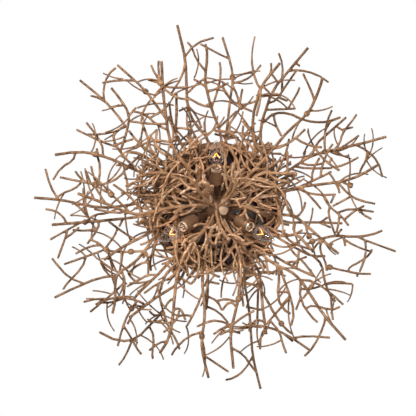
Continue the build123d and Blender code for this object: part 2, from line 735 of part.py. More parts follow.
    "branch_20": Branch(
        ring=2, slot=6, tip_drop=210,
        stem=[(-60, -4), (-110, 3), (-155, 15), (-180, 14), (-217, -2), (-249, -13), (-291, -29)],
        twigs=[
            [(-157, 15), (-163, -2), (-186, -27), (-217, -48)],
            [(-231, -8), (-243, -23), (-255, -44)],
            [(-190, 10), (-207, 13), (-257, 4)],
            [(-180, 12), (-200, -8), (-219, -26), (-240, -37), (-253, -46)],
            [(-258, -18), (-261, -28)],
        ],
        knots=[(-219, -26)],
    ),
    "branch_21": Branch(
        ring=0, slot=8, tip_drop=128,
        stem=[(-66, -16), (-110, -13), (-150, -12), (-195, -2), (-245, 2), (-290, -8), (-330, -16), (-383, -20)],
        twigs=[
            [(-80, -16), (-132, -30), (-156, -30), (-200, -30)],
            [(-300, -11), (-284, 3), (-269, 22)],
            [(-338, -17), (-325, -29), (-298, -38), (-284, -51)],
            [(-335, -22), (-349, -44), (-359, -81)],
            [(-270, 12), (-279, -12), (-279, -41)],
            [(-140, -27), (-157, -15)],
            [(-138, -30), (-152, -38), (-168, -38)],
            [(-186, -5), (-190, 3)],
        ],
    ),
    "branch_22": Branch(
        ring=1, slot=6, tip_drop=170,
        stem=[(-65, -30), (-133, -62), (-180, -82), (-208, -97), (-254, -112), (-290, -117), (-339, -110)],
        twigs=[
            [(-296, -115), (-300, -98), (-326, -84), (-343, -57)],
            [(-249, -112), (-251, -124)],
            [(-237, -108), (-240, -136), (-273, -178)],
            [(-187, -86), (-200, -64), (-233, -48), (-256, -47)],
            [(-256, -46), (-278, -53), (-329, -63)],
            [(-272, -52), (-288, -63), (-296, -76)],
            [(-264, -49), (-274, -77)],
            [(-251, -48), (-259, -68), (-263, -87)],
            [(-247, -47), (-243, -85), (-250, -108)],
            [(-192, -75), (-186, -50), (-187, -33)],
            [(-192, -89), (-211, -88)],
            [(-186, -86), (-167, -102), (-160, -111)],
            [(-164, -76), (-196, -108), (-220, -144), (-207, -163), (-188, -170)],
            [(-208, -127), (-240, -137), (-294, -163)],
            [(-207, -162), (-245, -152), (-272, -153)],
            [(-210, -131), (-192, -138), (-174, -143)],
            [(-202, -117), (-186, -164), (-182, -195), (-200, -225), (-221, -251)],
            [(-191, -170), (-209, -196), (-240, -229), (-287, -267)],
            [(-235, -223), (-238, -247), (-228, -278), (-211, -293)],
            [(-233, -221), (-250, -231), (-264, -234)],
            [(-221, -210), (-208, -213), (-192, -214)],
            [(-183, -191), (-168, -210)],
            [(-160, -73), (-146, -90), (-146, -99)],
        ],
        knots=[(-254, -111), (-256, -47), (-188, -84)],
    ),
    "branch_23": Branch(
        ring=2, slot=7, tip_drop=185,
        stem=[(-56, -44), (-96, -69), (-127, -75), (-165, -65)],
        twigs=[
            [(-122, -74), (-146, -49), (-176, -40)],
            [(-143, -52), (-167, -55), (-191, -44)],
            [(-118, -74), (-134, -46)],
            [(-100, -70), (-105, -50), (-120, -40)],
        ],
    ),
    "branch_24": Branch(
        ring=1, slot=7, tip_drop=170,
        stem=[(-58, -62), (-100, -84), (-137, -98), (-160, -113), (-184, -116)],
        twigs=[
            [(-92, -80), (-137, -113), (-167, -139), (-184, -161)],
            [(-160, -134), (-150, -120)],
            [(-138, -99), (-128, -78)],
            [(-112, -88), (-100, -96), (-84, -94)],
        ],
    ),
    "branch_25": Branch(
        ring=2, slot=8, tip_drop=225,
        stem=[(-32, -57), (-67, -90), (-88, -118), (-102, -155), (-104, -188), (-112, -235), (-113, -280), (-115, -307)],
        twigs=[
            [(-116, -256), (-129, -280), (-137, -299)],
            [(-117, -259), (-144, -268)],
            [(-114, -256), (-95, -250), (-59, -252)],
            [(-113, -252), (-85, -229), (-54, -226)],
            [(-103, -163), (-124, -172), (-150, -196), (-177, -202)],
            [(-106, -183), (-124, -210), (-148, -245), (-208, -299)],
            [(-170, -266), (-205, -267), (-240, -261)],
            [(-136, -228), (-152, -208), (-158, -180)],
            [(-108, -174), (-130, -174), (-180, -180)],
            [(-140, -187), (-117, -200), (-108, -208)],
            [(-97, -137), (-125, -141), (-148, -136), (-171, -123)],
            [(-126, -142), (-125, -164)],
            [(-131, -141), (-138, -149)],
            [(-128, -139), (-128, -120), (-121, -95)],
            [(-126, -136), (-118, -115), (-102, -109)],
            [(-142, -138), (-148, -158), (-156, -177)],
            [(-141, -136), (-139, -120), (-124, -110)],
            [(-92, -126), (-102, -126)],
            [(-116, -254), (-127, -238), (-131, -229)],
            [(-118, -264), (-122, -290), (-121, -308)],
        ],
        knots=[(-148, -245), (-117, -256)],
    ),
    "branch_26": Branch(
        ring=1, slot=8, tip_drop=185,
        stem=[(-28, -66), (-46, -98), (-72, -131), (-88, -152), (-83, -185), (-84, -240)],
        twigs=[
            [(-88, -158), (-95, -185), (-99, -222)],
            [(-74, -133), (-81, -150)],
            [(-87, -166), (-73, -167), (-58, -163)],
            [(-54, -110), (-68, -118), (-87, -112)],
            [(-62, -120), (-48, -126), (-40, -127)],
            [(-82, -144), (-98, -134)],
        ],
    ),
    "branch_27": Branch(
        ring=0, slot=11, tip_drop=140,
        stem=[(-19, -80), (-22, -115), (-14, -142), (-46, -175), (-61, -210), (-63, -255), (-64, -308), (-82, -383)],
        twigs=[
            [(-64, -303), (-71, -275), (-95, -238)],
            [(-64, -315), (-45, -344), (-5, -356)],
            [(-61, -212), (-41, -193), (-31, -166)],
            [(-60, -211), (-79, -202)],
            [(-22, -151), (-25, -180)],
            [(-20, -105), (-38, -136), (-58, -175)],
            [(-44, -150), (-55, -139), (-53, -127)],
            [(-50, -180), (-60, -178)],
            [(-37, -134), (-52, -137), (-66, -130)],
        ],
    ),
}

# Rods are laid out first, as centre lines, so that the hub's holes can follow them
Rod = namedtuple("Rod", "points radius")


def seen_at(across, down, drop):
    """Real place of a point on the ruled plane once it is moved along the line of sight."""
    spread = (eye_drop - drop) / (eye_drop - ruled_drop)
    return np.array([across * spread, down * spread, -drop])


def fade(points, start_drop, end_drop):
    """Real points of a rod whose drop changes steadily along its length."""
    flat = np.array(points, dtype=float)
    runs = np.hypot(*(flat[1:] - flat[:-1]).T)
    shares = np.concatenate([[0.0], np.cumsum(runs)]) / runs.sum()
    return [seen_at(x, y, start_drop + (end_drop - start_drop) * t) for (x, y), t in zip(flat, shares)]


def spread_samples(points):
    """Evenly spaced places along a rod's centre line."""
    places = []
    for start, end in zip(points[:-1], points[1:]):
        steps = math.ceil(np.linalg.norm(end - start) / nest_sample)
        places += [start + (end - start) * k / steps for k in range(steps)]
    return np.array(places + [points[-1]])


def eased(points):
    """A rod's points with each inner corner cut into two flatter ones."""
    kept = [points[0]]
    for before, corner, after in zip(points[:-2], points[1:-1], points[2:]):
        for other in (before, after):
            run = np.linalg.norm(other - corner)
            cut = min(corner_cut_share * run, corner_cut_reach)
            kept.append(corner + (other - corner) * cut / run)
    return kept + [points[-1]]


def as_array(vector):
    return np.array([vector.X, vector.Y, vector.Z])


def hub_root(branch):
    """The straight start of a stem, from inside the hub to where its first bend is."""
    ring = HUB_RINGS[branch.ring]
    turn = ring.first_turn + 360 / ring.slots * branch.slot
    inner = on_circle(turn, ring.tilt, rod_inner_reach)
    bend = on_circle(turn, ring.tilt, rod_bend_reach)
    return [as_array(inner), as_array(bend)]


def lamp_samples():
    """Places and radii that the rods keep clear of: arms, cups and bulbs."""
    places = []
    radii = []
    for number in range(arm_count):
        turn = arm_first_turn + 360 / arm_count * number
        reach = hub_radius
        while reach < bulb_glass_end + lamp_keep_out_travel:
            places.append(as_array(on_circle(turn, arm_tilt, reach)))
            radii.append(arm_keep_out_radius if reach < cup_start - arm_keep_out_end else lamp_keep_out_radius)
            reach += nest_sample
    return np.array(places), np.array(radii)


class Nest:
    """Every rod laid so far, as samples, with the branch that each belongs to."""

    def __init__(self):
        self.places, self.radii = lamp_samples()
        self.owners = np.full(len(self.places), -1)

    def add(self, rod, owner):
        samples = spread_samples(rod.points)
        self.places = np.vstack([self.places, samples])
        self.radii = np.concatenate([self.radii, np.full(len(samples), rod.radius)])
        self.owners = np.concatenate([self.owners, np.full(len(samples), owner)])

    def knot_room(self, place, owner):
        """The largest ball at a place that stays clear of the other branches and the lamps."""
        other = self.owners != owner
        apart = np.linalg.norm(self.places[other] - place, axis=1) - self.radii[other]
        return min(knot_radius, apart.min() - nest_gap)

    def gap(self, samples, free, radius, owner):
        """Least gap of a rod to other branches and the lamps, and of its free part to this branch's own rods."""
        apart = np.linalg.norm(samples[:, None, :] - self.places[None, :, :], axis=2)
        apart -= self.radii[None, :] + radius
        own = self.owners == owner
        own_gap = apart[free][:, own].min() if own.any() else nest_gap
        return apart[:, ~own].min(), own_gap


def canopy_gap(samples, radius):
    """How far a rod stays below the canopy, where it passes under it."""
    under = np.hypot(samples[:, 0], samples[:, 1]) < canopy_radius + canopy_keep_out
    if not under.any():
        return nest_gap
    return (-samples[under, 2]).min() - radius - canopy_depth - canopy_keep_out


def best_lift(nest, make_points, radius, owner, skip):
    """The smallest lift or drop that keeps a rod clear of what is already there."""
    best = None
    for lift in lift_steps:
        points = make_points(lift)
        samples = spread_samples(points)
        free = np.linalg.norm(samples - points[0], axis=1) > skip
        free[-1] = True
        other_gap, own_gap = nest.gap(samples, free, radius, owner)
        score = min(other_gap, canopy_gap(samples, radius), nest_gap)
        own_score = min(own_gap, nest_gap)
        rank = (round(score, 3), round(own_score, 3))
        if best is None or rank > best[0]:
            best = (rank, points)
        if score >= nest_gap and own_score >= nest_gap:
            break
    return best


def nearest_on(rods, across, down):
    """Place on the rods of a branch that lies under a point of the ruled plane."""
    best = None
    for rod in rods:
        for place in spread_samples(rod.points):
            spread = (eye_drop + place[2]) / (eye_drop - ruled_drop)
            apart = math.hypot(place[0] / spread - across, place[1] / spread - down)
            if best is None or apart < best[0]:
                best = (apart, place)
    return best[1]


def without_straights(points):
    """A rod's points without those where it hardly turns."""
    kept = [points[0]]
    for middle, after in zip(points[1:-1], points[2:]):
        before = Vector(*(middle - kept[-1]))
        if before.get_angle(Vector(*(after - middle))) > nest_least_turn:
            kept.append(middle)
    return kept + [points[-1]]


def knot_line(rods, place, radius):
    """Short centre line of a knot, along the run of the rod that it sits on."""
    best = None
    for rod in rods:
        for start, end in zip(rod.points[:-1], rod.points[1:]):
            along = (end - start) / np.linalg.norm(end - start)
            aside = np.linalg.norm(np.cross(place - start, along))
            reach = np.dot(place - start, along)
            if -radius < reach < np.linalg.norm(end - start) + radius and (best is None or aside < best[0]):
                best = (aside, along)
    half = knot_half_length * best[1]
    return [place - half, place + half]


def turned_step(place, turn, length):
    """The place a step further on, in a direction on the ruled plane."""
    return (place[0] + length * math.cos(math.radians(turn)), place[1] + length * math.sin(math.radians(turn)))


def stem_crossing(stem, reach):
    """Where a stem passes a distance from the light's axis, and which way it runs there."""
    for start, end in zip(stem[:-1], stem[1:]):
        near, far = math.hypot(*start), math.hypot(*end)
        if near <= reach < far:
            share = (reach - near) / (far - near)
            place = (start[0] + (end[0] - start[0]) * share, start[1] + (end[1] - start[1]) * share)
            return place, math.degrees(math.atan2(end[1] - start[1], end[0] - start[0]))
    return None


def inner_twigs(stem, reaches, owner):
    """Curled twigs that leave a stem to its two sides in turn, each with a fork, and how far each drops."""
    twigs = []
    for number, reach in enumerate(reaches):
        crossing = stem_crossing(stem, reach)
        if crossing is None:
            continue
        share = golden_share * (owner * len(reaches) + number) % 1
        side = 1 if (owner + number) % 2 else -1
        step = inner_twig_length * (1 - share / 2) / 3
        turn = crossing[1] + side * (inner_twig_least_turn + inner_twig_turn_range * share)
        points = [crossing[0]]
        turns = []
        for _ in range(3):
            points.append(turned_step(points[-1], turn, step))
            turns.append(turn)
            turn -= side * inner_twig_curl / 2
        drop = inner_twig_rise * (golden_share * (owner + number * number) % 1 - inner_rising_share)
        fork_turn = turns[1] + side * inner_fork_turn
        fork = [points[1]]
        for _ in range(2):
            fork.append(turned_step(fork[-1], fork_turn, inner_fork_share * step * 3 / 2))
            fork_turn += side * inner_twig_curl / 2
        twigs += [(points, drop), (fork, -drop)]
    return twigs


def lay_twig(nest, rods, twig, owner, drop=0.0):
    """The clearest rod along a twig's line, and whether it is clear of everything else."""
    foot = nearest_on(rods, *twig[0])
    foot_drop = -foot[2]
    length = sum(math.dist(a, b) for a, b in zip(twig[:-1], twig[1:]))
    radius = long_twig_radius if length > long_twig_length else twig_radius

    def twig_points(lift):
        reach = drop + lift * min(1.0, length / long_twig_length)
        points = fade(twig, foot_drop, foot_drop + reach)
        return without_straights(eased([foot] + points[1:]))

    rank, points = best_lift(nest, twig_points, radius, owner, nest_weld_length)
    return Rod(points, radius), rank


def lay_branch(nest, branch, owner):
    root = hub_root(branch)
    start_drop = HUB_RINGS[branch.ring].start_drop

    def stem_points(lift):
        return without_straights(eased(root + fade(branch.stem, start_drop, branch.tip_drop + lift)))

    rank, points = best_lift(nest, stem_points, stem_radius, owner, 0)
    rods = [Rod(points, stem_radius)]
    if rank[0] < nest_gap:
        print("close stem", owner, rank)
    nest.add(rods[0], owner)
    for twig in branch.twigs:
        rod, rank = lay_twig(nest, rods, twig, owner)
        if rank[0] < nest_gap:
            print("close twig", owner, twig[0], twig[-1], rank)
        rods.append(rod)
        nest.add(rod, owner)
    knots = []
    for across, down in branch.knots:
        place = nearest_on(rods, across, down)
        radius = nest.knot_room(place, owner)
        knots.append(Rod(knot_line(rods, place, radius), radius))
        nest.add(knots[-1], owner)
    return rods, knots


def lay_inner_twigs(nest, branch, owner, rods, reaches):
    """Adds the inner twigs of a stem that find room once every branch is laid."""
    twigs = inner_twigs(branch.stem, reaches, owner)
    laid = True
    for number, (twig, drop) in enumerate(twigs):
        if number % 2 and not laid:
            continue
        rod, rank = lay_twig(nest, rods, twig, owner, drop)
        laid = min(rank) >= nest_gap
        if laid:
            rods.append(rod)
            nest.add(rod, owner)


def front_branch(ring, slot, number):
    """A short stem that leaves the hub towards the floor, curled to one side."""
    turn = HUB_RINGS[ring].first_turn + 360 / HUB_RINGS[ring].slots * slot
    side = 1 if number % 2 else -1
    place = turned_step((0, 0), turn, front_stem_start[ring])
    stem = [place]
    for _ in range(front_stem_steps):
        turn += side * front_stem_curl
        place = turned_step(place, turn, front_stem_step)
        stem.append(place)
    return Branch(ring=ring, slot=slot, tip_drop=front_tip_drops[number], stem=stem, twigs=[])


FRONT_BRANCHES = [front_branch(ring, slot, number) for number, (ring, slot) in enumerate(FRONT_SLOTS)]

nest = Nest()
every_branch = list(BRANCHES.values()) + FRONT_BRANCHES
laid = [lay_branch(nest, branch, owner) for owner, branch in enumerate(every_branch)]
for owner, (branch, (rods, knots)) in enumerate(zip(every_branch, laid)):
    reaches = inner_twig_reaches if owner < len(BRANCHES) else front_twig_reaches
    lay_inner_twigs(nest, branch, owner, rods, reaches)

# Hub, pressed as two half balls that meet at its middle, with a hole for every rod and arm
rod_hole_radius = stem_radius + rod_hole_gap
hub_seat_drop = hub_flat_drop + hub_boss_depth
arm_turns = [arm_first_turn + 360 / arm_count * number for number in range(arm_count)]


def hub_hole_planes(upper):
    """Planes square to the rods that enter one half of the hub."""
    planes = []
    for branch in every_branch:
        ring = HUB_RINGS[branch.ring]
        if (ring.tilt < 0) == upper:
            turn = ring.first_turn + 360 / ring.slots * branch.slot
            inner = on_circle(turn, ring.tilt, rod_inner_reach)
            planes.append(Plane(origin=inner, z_dir=inner - hub_centre))
    return planes


with BuildPart() as hub_upper:
    with BuildSketch(Plane.XZ):
        with Locations((0, -hub_drop)):
            Circle(hub_radius)
            Circle(hub_inner_radius, mode=Mode.SUBTRACT)
        with Locations((hub_flat_radius / 2, -hub_seat_drop + hub_boss_depth / 2)):
            Rectangle(hub_flat_radius, hub_boss_depth)
        with Locations((nipple_hole_radius / 2, -hub_flat_drop)):
            Rectangle(nipple_hole_radius, hub_radius, mode=Mode.SUBTRACT)
        with Locations((hub_radius, -hub_flat_drop + hub_radius / 2)):
            Rectangle(2 * hub_radius, hub_radius, mode=Mode.SUBTRACT)
        with Locations((hub_radius, -hub_drop - hub_radius)):
            Rectangle(2 * hub_radius, 2 * hub_radius, mode=Mode.SUBTRACT)
        with Locations((-hub_radius, -hub_drop)):
            Rectangle(2 * hub_radius, 4 * hub_radius, mode=Mode.SUBTRACT)
    revolve(axis=Axis.Z)
    for plane in hub_hole_planes(upper=True):
        with BuildSketch(plane):
            Circle(rod_hole_radius)
        extrude(amount=hub_radius, mode=Mode.SUBTRACT)
export_piece(hub_upper, "hub_upper")

lip_outer_radius = hub_inner_radius - fit_gap
with BuildPart() as hub_lower:
    with BuildSketch(Plane.XZ):
        with Locations((0, -hub_drop)):
            Circle(hub_radius)
            Circle(hub_inner_radius, mode=Mode.SUBTRACT)
        with Locations((hub_radius, -hub_drop + hub_radius)):
            Rectangle(2 * hub_radius, 2 * hub_radius, mode=Mode.SUBTRACT)
        with Locations((-hub_radius, -hub_drop)):
            Rectangle(2 * hub_radius, 4 * hub_radius, mode=Mode.SUBTRACT)
        with Locations((lip_outer_radius - hub_lip_wall / 2, -hub_drop + (hub_lip_height - hub_lip_depth) / 2)):
            Rectangle(hub_lip_wall, hub_lip_height + hub_lip_depth)
        with Locations((hub_inner_radius, -hub_drop - hub_lip_depth / 2)):
            Rectangle(hub_lip_wall, hub_lip_depth)
    revolve(axis=Axis.Z)
    for plane in hub_hole_planes(upper=False):
        with BuildSketch(plane):
            Circle(rod_hole_radius)
        extrude(amount=hub_radius, mode=Mode.SUBTRACT)
    for turn in arm_turns:
        inner = on_circle(turn, arm_tilt, arm_start)
        with BuildSketch(Plane(origin=inner, z_dir=inner - hub_centre)):
            Circle(arm_diameter / 2 + fit_gap)
        extrude(amount=hub_radius, mode=Mode.SUBTRACT)
export_piece(hub_lower, "hub_lower")


def arm_plane(turn, reach):
    """Plane square to an arm at a reach from the hub's centre, facing away from the hub."""
    place = on_circle(turn, arm_tilt, reach)
    side = Vector(0, 0, 1).cross(place - hub_centre)
    return Plane(origin=place, x_dir=side, z_dir=place - hub_centre)


def arm_profile_plane(turn):
    """Plane through an arm's axis: its Y runs along the arm from the centre of the hub."""
    along = on_circle(turn, arm_tilt, 1.0) - hub_centre
    side = Vector(0, 0, 1).cross(along)
    return Plane(origin=hub_centre, x_dir=side, z_dir=side.cross(along))


def arm_axis(turn):
    return Axis(hub_centre, on_circle(turn, arm_tilt, 1.0) - hub_centre)


# Lamp arms: tubes with a collar that backs the cup
with BuildPart() as socket_arms:
    for turn in arm_turns:
        with BuildSketch(arm_plane(turn, arm_start)):
            Circle(arm_diameter / 2)
        extrude(amount=arm_end - arm_start)
        with BuildSketch(arm_plane(turn, cup_start)):
            Circle(arm_collar_diameter / 2)
        extrude(amount=-arm_collar_height)
        with BuildSketch(arm_plane(turn, arm_start)):
            Circle(arm_bore / 2)
        extrude(amount=arm_end - arm_start, mode=Mode.SUBTRACT)
export_piece(socket_arms, "socket_arms")

# Nuts on the threaded pipes: above the canopy, inside the hub's top and on each arm inside the hub
arm_hole_radius = arm_diameter / 2 + fit_gap
arm_nut_seat = math.sqrt(hub_inner_radius**2 - hexagon_radius(arm_nut_across_flats)**2)
with BuildPart() as pipe_nuts:
    with BuildSketch(Plane.XY.offset(canopy_sheet - canopy_face_drop)):
        RegularPolygon(hexagon_radius(nipple_nut_across_flats), 6)
        Circle(nipple_hole_radius, mode=Mode.SUBTRACT)
    extrude(amount=nipple_nut_height)
    with BuildSketch(Plane.XY.offset(-hub_seat_drop)):
        RegularPolygon(hexagon_radius(nipple_nut_across_flats), 6)
        Circle(nipple_hole_radius, mode=Mode.SUBTRACT)
    extrude(amount=-nipple_nut_height)
    for turn in arm_turns:
        with BuildSketch(arm_plane(turn, arm_nut_seat - fit_gap)):
            RegularPolygon(hexagon_radius(arm_nut_across_flats), 6)
            Circle(arm_hole_radius, mode=Mode.SUBTRACT)
        extrude(amount=-arm_nut_height)
export_piece(pipe_nuts, "pipe_nuts")

# Cups, one at the end of each arm, open at the mouth
for number, turn in enumerate(arm_turns, start=1):
    with BuildPart() as socket_cup:
        with BuildSketch(arm_plane(turn, cup_start)):
            Circle(cup_diameter / 2)
        extrude(amount=cup_length)
        fillet(socket_cup.edges().sort_by(arm_axis(turn))[0], cup_back_radius)
        with BuildSketch(arm_plane(turn, cup_start + cup_floor)):
            Circle(cup_inner_radius)
        extrude(amount=cup_length - cup_floor, mode=Mode.SUBTRACT)
        with BuildSketch(arm_plane(turn, cup_start)):
            Circle(arm_hole_radius)
        extrude(amount=cup_floor, mode=Mode.SUBTRACT)
    export_piece(socket_cup, f"socket_cup_{number}")

# Candle sockets that screw onto the ends of the arms inside the cups, each in an open sleeve
with BuildPart() as lamp_sockets:
    for turn in arm_turns:
        with BuildSketch(arm_plane(turn, socket_start)):
            Circle(socket_sleeve_diameter / 2)
        extrude(amount=sleeve_rim - socket_start)
        with BuildSketch(arm_plane(turn, socket_start + socket_foot_depth)):
            Circle(socket_sleeve_diameter / 2 - socket_sleeve_wall)
            Circle(socket_core_diameter / 2, mode=Mode.SUBTRACT)
        extrude(amount=sleeve_rim - socket_start - socket_foot_depth, mode=Mode.SUBTRACT)
        with BuildSketch(arm_plane(turn, socket_rim)):
            Circle(socket_sleeve_diameter / 2 - socket_sleeve_wall)
        extrude(amount=sleeve_rim - socket_rim, mode=Mode.SUBTRACT)
        with BuildSketch(arm_plane(turn, socket_rim)):
            Circle(socket_bore / 2)
        extrude(amount=-socket_bore_depth, mode=Mode.SUBTRACT)
        with BuildSketch(arm_plane(turn, socket_start)):
            Circle(arm_hole_radius)
        extrude(amount=arm_end + seat_gap - socket_start, mode=Mode.SUBTRACT)
export_piece(lamp_sockets, "lamp_sockets")

# Bulbs: contact tip, threaded shell, torpedo glass and filament
belly_height = bulb_belly_share * (bulb_glass_end - bulb_shell_end)
for number, turn in enumerate(arm_turns, start=1):
    with BuildPart() as bulb_tip:
        with BuildSketch(arm_plane(turn, bulb_tip_start)):
            Circle(bulb_tip_diameter / 2)
        extrude(amount=bulb_tip_height)
    export_piece(bulb_tip, f"bulb_tip_{number}")

    with BuildPart() as bulb_shell:
        with BuildSketch(arm_plane(turn, bulb_shell_start)):
            Circle(bulb_shell_diameter / 2)
        extrude(amount=bulb_shell_length)
        with BuildSketch(arm_plane(turn, bulb_neck_start)):
            Circle(bulb_neck_diameter / 2)
        extrude(amount=bulb_neck_plug, mode=Mode.SUBTRACT)
    export_piece(bulb_shell, f"bulb_shell_{number}")

    with BuildPart() as bulb_glass:
        with BuildSketch(arm_profile_plane(turn)):
            with BuildLine():
                neck = Line((bulb_neck_diameter / 2, bulb_neck_start), (bulb_neck_diameter / 2, bulb_shell_end))
                belly = Spline(neck @ 1, (bulb_glass_diameter / 2, bulb_shell_end + belly_height),
                               (bulb_end_radius, bulb_glass_end), tangents=((0, 1), (-0.35, 1)))
                Polyline(belly @ 1, (0, bulb_glass_end), (0, bulb_neck_start), neck @ 0)
            make_face()
        revolve(axis=arm_axis(turn))
        with BuildSketch(arm_profile_plane(turn)):
            with BuildLine():
                inner = Spline((bulb_neck_diameter / 2 - bulb_glass_wall, bulb_shell_end),
                               (bulb_glass_diameter / 2 - bulb_glass_wall, bulb_shell_end + belly_height),
                               (bulb_end_radius - bulb_glass_wall, bulb_glass_end - bulb_glass_wall),
                               tangents=((0, 1), (-0.35, 1)))
                Polyline(inner @ 1, (0, bulb_glass_end - bulb_glass_wall), (0, bulb_shell_end), inner @ 0)
            make_face()
        revolve(axis=arm_axis(turn), mode=Mode.SUBTRACT)
    export_piece(bulb_glass, f"bulb_glass_{number}")

    with BuildPart() as filament:
        with BuildSketch(arm_plane(turn, bulb_shell_end)):
            Circle(filament_stem_diameter / 2)
        extrude(amount=filament_stem_length)
        profile = arm_profile_plane(turn)
        stem_end = bulb_shell_end + filament_stem_length
        foot = bulb_shell_end + filament_foot_height
        peak = profile.from_local_coords((0, bulb_shell_end + filament_peak_height, 0))
        for side in (-1, 1):
            lead_start = profile.from_local_coords((side * filament_stem_diameter / 4, stem_end - 1, 0))
            lead_end = profile.from_local_coords((side * filament_half_width, foot, 0))
            with BuildSketch(Plane(origin=lead_start, z_dir=lead_end - lead_start)):
                Circle(filament_lead_diameter / 2)
            extrude(amount=(lead_end - lead_start).length)
            with BuildSketch(Plane(origin=lead_end, z_dir=peak - lead_end)):
                Circle(filament_coil_diameter / 2)
            extrude(amount=(peak - lead_end).length)
            with Locations(lead_end):
                Sphere(filament_coil_diameter / 2)
        with Locations(peak):
            Sphere(filament_coil_diameter / 2)
    export_piece(filament, f"filament_{number}")


def rod_length(rod):
    return sum(math.dist(a, b) for a, b in zip(rod.points[:-1], rod.points[1:]))


def knot_bead(start, end, radius):
    """A round swelling with eased ends."""
    bead = Solid.make_cylinder(radius, (end - start).length, Plane(origin=start, z_dir=end - start))
    return bead.chamfer(knot_chamfer, knot_chamfer, bead.edges().filter_by(GeomType.CIRCLE))


def export_rods(branches, name):
    """Sweeps and joins the rods and knots of one node."""
    with BuildPart() as branch_part:
        for rods, knots in branches:
            for rod in rods:
                with BuildLine() as path:
                    Polyline(*[Vector(*point) for point in rod.points])
                with BuildSketch(Plane(origin=path.line @ 0, z_dir=path.line % 0)):
                    Circle(rod.radius)
                sweep(path=path.line, transition=Transition.RIGHT)
            for knot in knots:
                start, end = [Vector(*point) for point in knot.points]
                add(knot_bead(start, end, knot.radius))
    export_piece(branch_part, name)
    rod_volume = sum(math.pi * rod.radius**2 * rod_length(rod) for rods, _ in branches for rod in rods)
    print(name, sum(len(rods) for rods, _ in branches), "rods", len(branch_part.part.solids()), "solids",
          round(branch_part.part.volume), "of", round(rod_volume))


# The twigs themselves, one node for each stem with what is brazed to it, and one for the front stems
for name, branch in zip(BRANCHES, laid):
    export_rods([branch], name)
export_rods(laid[len(BRANCHES):], "branch_front")
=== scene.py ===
# %% [markdown]
# # A twig nest ceiling light
# This lesson dresses a flush mount ceiling light: a round bronze canopy with a mirror in its face, a ball
# hub, a nest of bronze twigs and three candle lamps. The construction comes in first as a fixed frame, in
# metres, and everything made here keeps to its places. We keep the frame's box.

# %% Load the frame
import bpy
import bmesh
import json
import math
import random
from collections import namedtuple
from mathutils import Matrix, Quaternion, Vector


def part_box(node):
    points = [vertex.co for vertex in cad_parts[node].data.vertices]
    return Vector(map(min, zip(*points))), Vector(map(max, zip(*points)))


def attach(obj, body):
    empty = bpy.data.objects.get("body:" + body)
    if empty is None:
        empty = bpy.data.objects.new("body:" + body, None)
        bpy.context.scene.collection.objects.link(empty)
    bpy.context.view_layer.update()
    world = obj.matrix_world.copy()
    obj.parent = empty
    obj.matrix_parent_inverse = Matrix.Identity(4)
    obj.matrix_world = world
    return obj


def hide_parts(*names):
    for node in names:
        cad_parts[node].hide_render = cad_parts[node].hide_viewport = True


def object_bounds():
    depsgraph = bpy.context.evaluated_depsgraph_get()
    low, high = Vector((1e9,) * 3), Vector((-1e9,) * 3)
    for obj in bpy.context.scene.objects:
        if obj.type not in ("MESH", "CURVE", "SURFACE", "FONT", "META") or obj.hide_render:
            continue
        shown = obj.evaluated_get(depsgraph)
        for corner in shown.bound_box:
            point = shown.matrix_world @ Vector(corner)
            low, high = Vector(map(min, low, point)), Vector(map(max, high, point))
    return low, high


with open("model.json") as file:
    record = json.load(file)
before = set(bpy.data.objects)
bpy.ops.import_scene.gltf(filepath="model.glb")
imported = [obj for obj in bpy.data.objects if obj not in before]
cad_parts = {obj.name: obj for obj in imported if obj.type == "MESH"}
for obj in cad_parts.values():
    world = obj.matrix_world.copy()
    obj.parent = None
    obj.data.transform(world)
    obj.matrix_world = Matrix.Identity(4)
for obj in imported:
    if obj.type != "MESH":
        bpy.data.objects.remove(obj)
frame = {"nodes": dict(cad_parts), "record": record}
frame_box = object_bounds()
nodes = frame["nodes"]
scene = bpy.context.scene
scene.view_settings.view_transform = "Standard"
print("nodes in the frame:", len(nodes))

# %% [markdown]
# ## The camera
# The photograph looks straight up at the light from 2.4 m below the ceiling. A pixel covers 2.1 mm on the
# plane of the cup mouths, 154 mm under the ceiling, and that sets the lens. The light's axis is a little
# off the middle of the picture, which is a small shift of the lens and not a turn of the camera.

# %% Camera
picture_size = 416
eye_drop = 2.4
mouth_plane_drop = 0.154
metres_per_pixel = 0.0021
sensor_width = 0.036
axis_pixel = (216.3, 207.2)
view_width = picture_size * metres_per_pixel

camera_data = bpy.data.cameras.new("camera")
camera_data.sensor_width = sensor_width * 1000
camera_data.lens = sensor_width * 1000 * (eye_drop - mouth_plane_drop) / view_width
camera_data.shift_x = (picture_size / 2 - axis_pixel[0]) / picture_size
camera_data.shift_y = (axis_pixel[1] - picture_size / 2) / picture_size
camera = bpy.data.objects.new("camera", camera_data)
camera.location = (0, 0, -eye_drop)
camera.rotation_euler = Matrix(((1, 0, 0), (0, -1, 0), (0, 0, -1))).to_euler()
camera_data.clip_end = 50
scene.collection.objects.link(camera)
scene.camera = camera
print("lens", round(camera_data.lens, 2), "mm")

# %% [markdown]
# ## Helpers for pieces
# Every piece is a plain mesh whose object stays at the origin, with its place in its points. `settle`
# turns an object's live modifiers into such a mesh. `copy_of` starts a piece from a node of the frame: the
# node's mesh is loose triangles, so its doubles are merged first. `one_skin` melts what a piece holds into
# one surface. `finish_piece` gives the piece its material, lets it ride on its body and hides the node it
# stands for.

# %% Helpers for pieces
def settle(piece):
    depsgraph = bpy.context.evaluated_depsgraph_get()
    mesh = bpy.data.meshes.new_from_object(piece.evaluated_get(depsgraph), depsgraph=depsgraph)
    piece.modifiers.clear()
    piece.data = mesh
    return piece


def new_piece(name, mesh):
    piece = bpy.data.objects.new(name, mesh)
    scene.collection.objects.link(piece)
    return piece


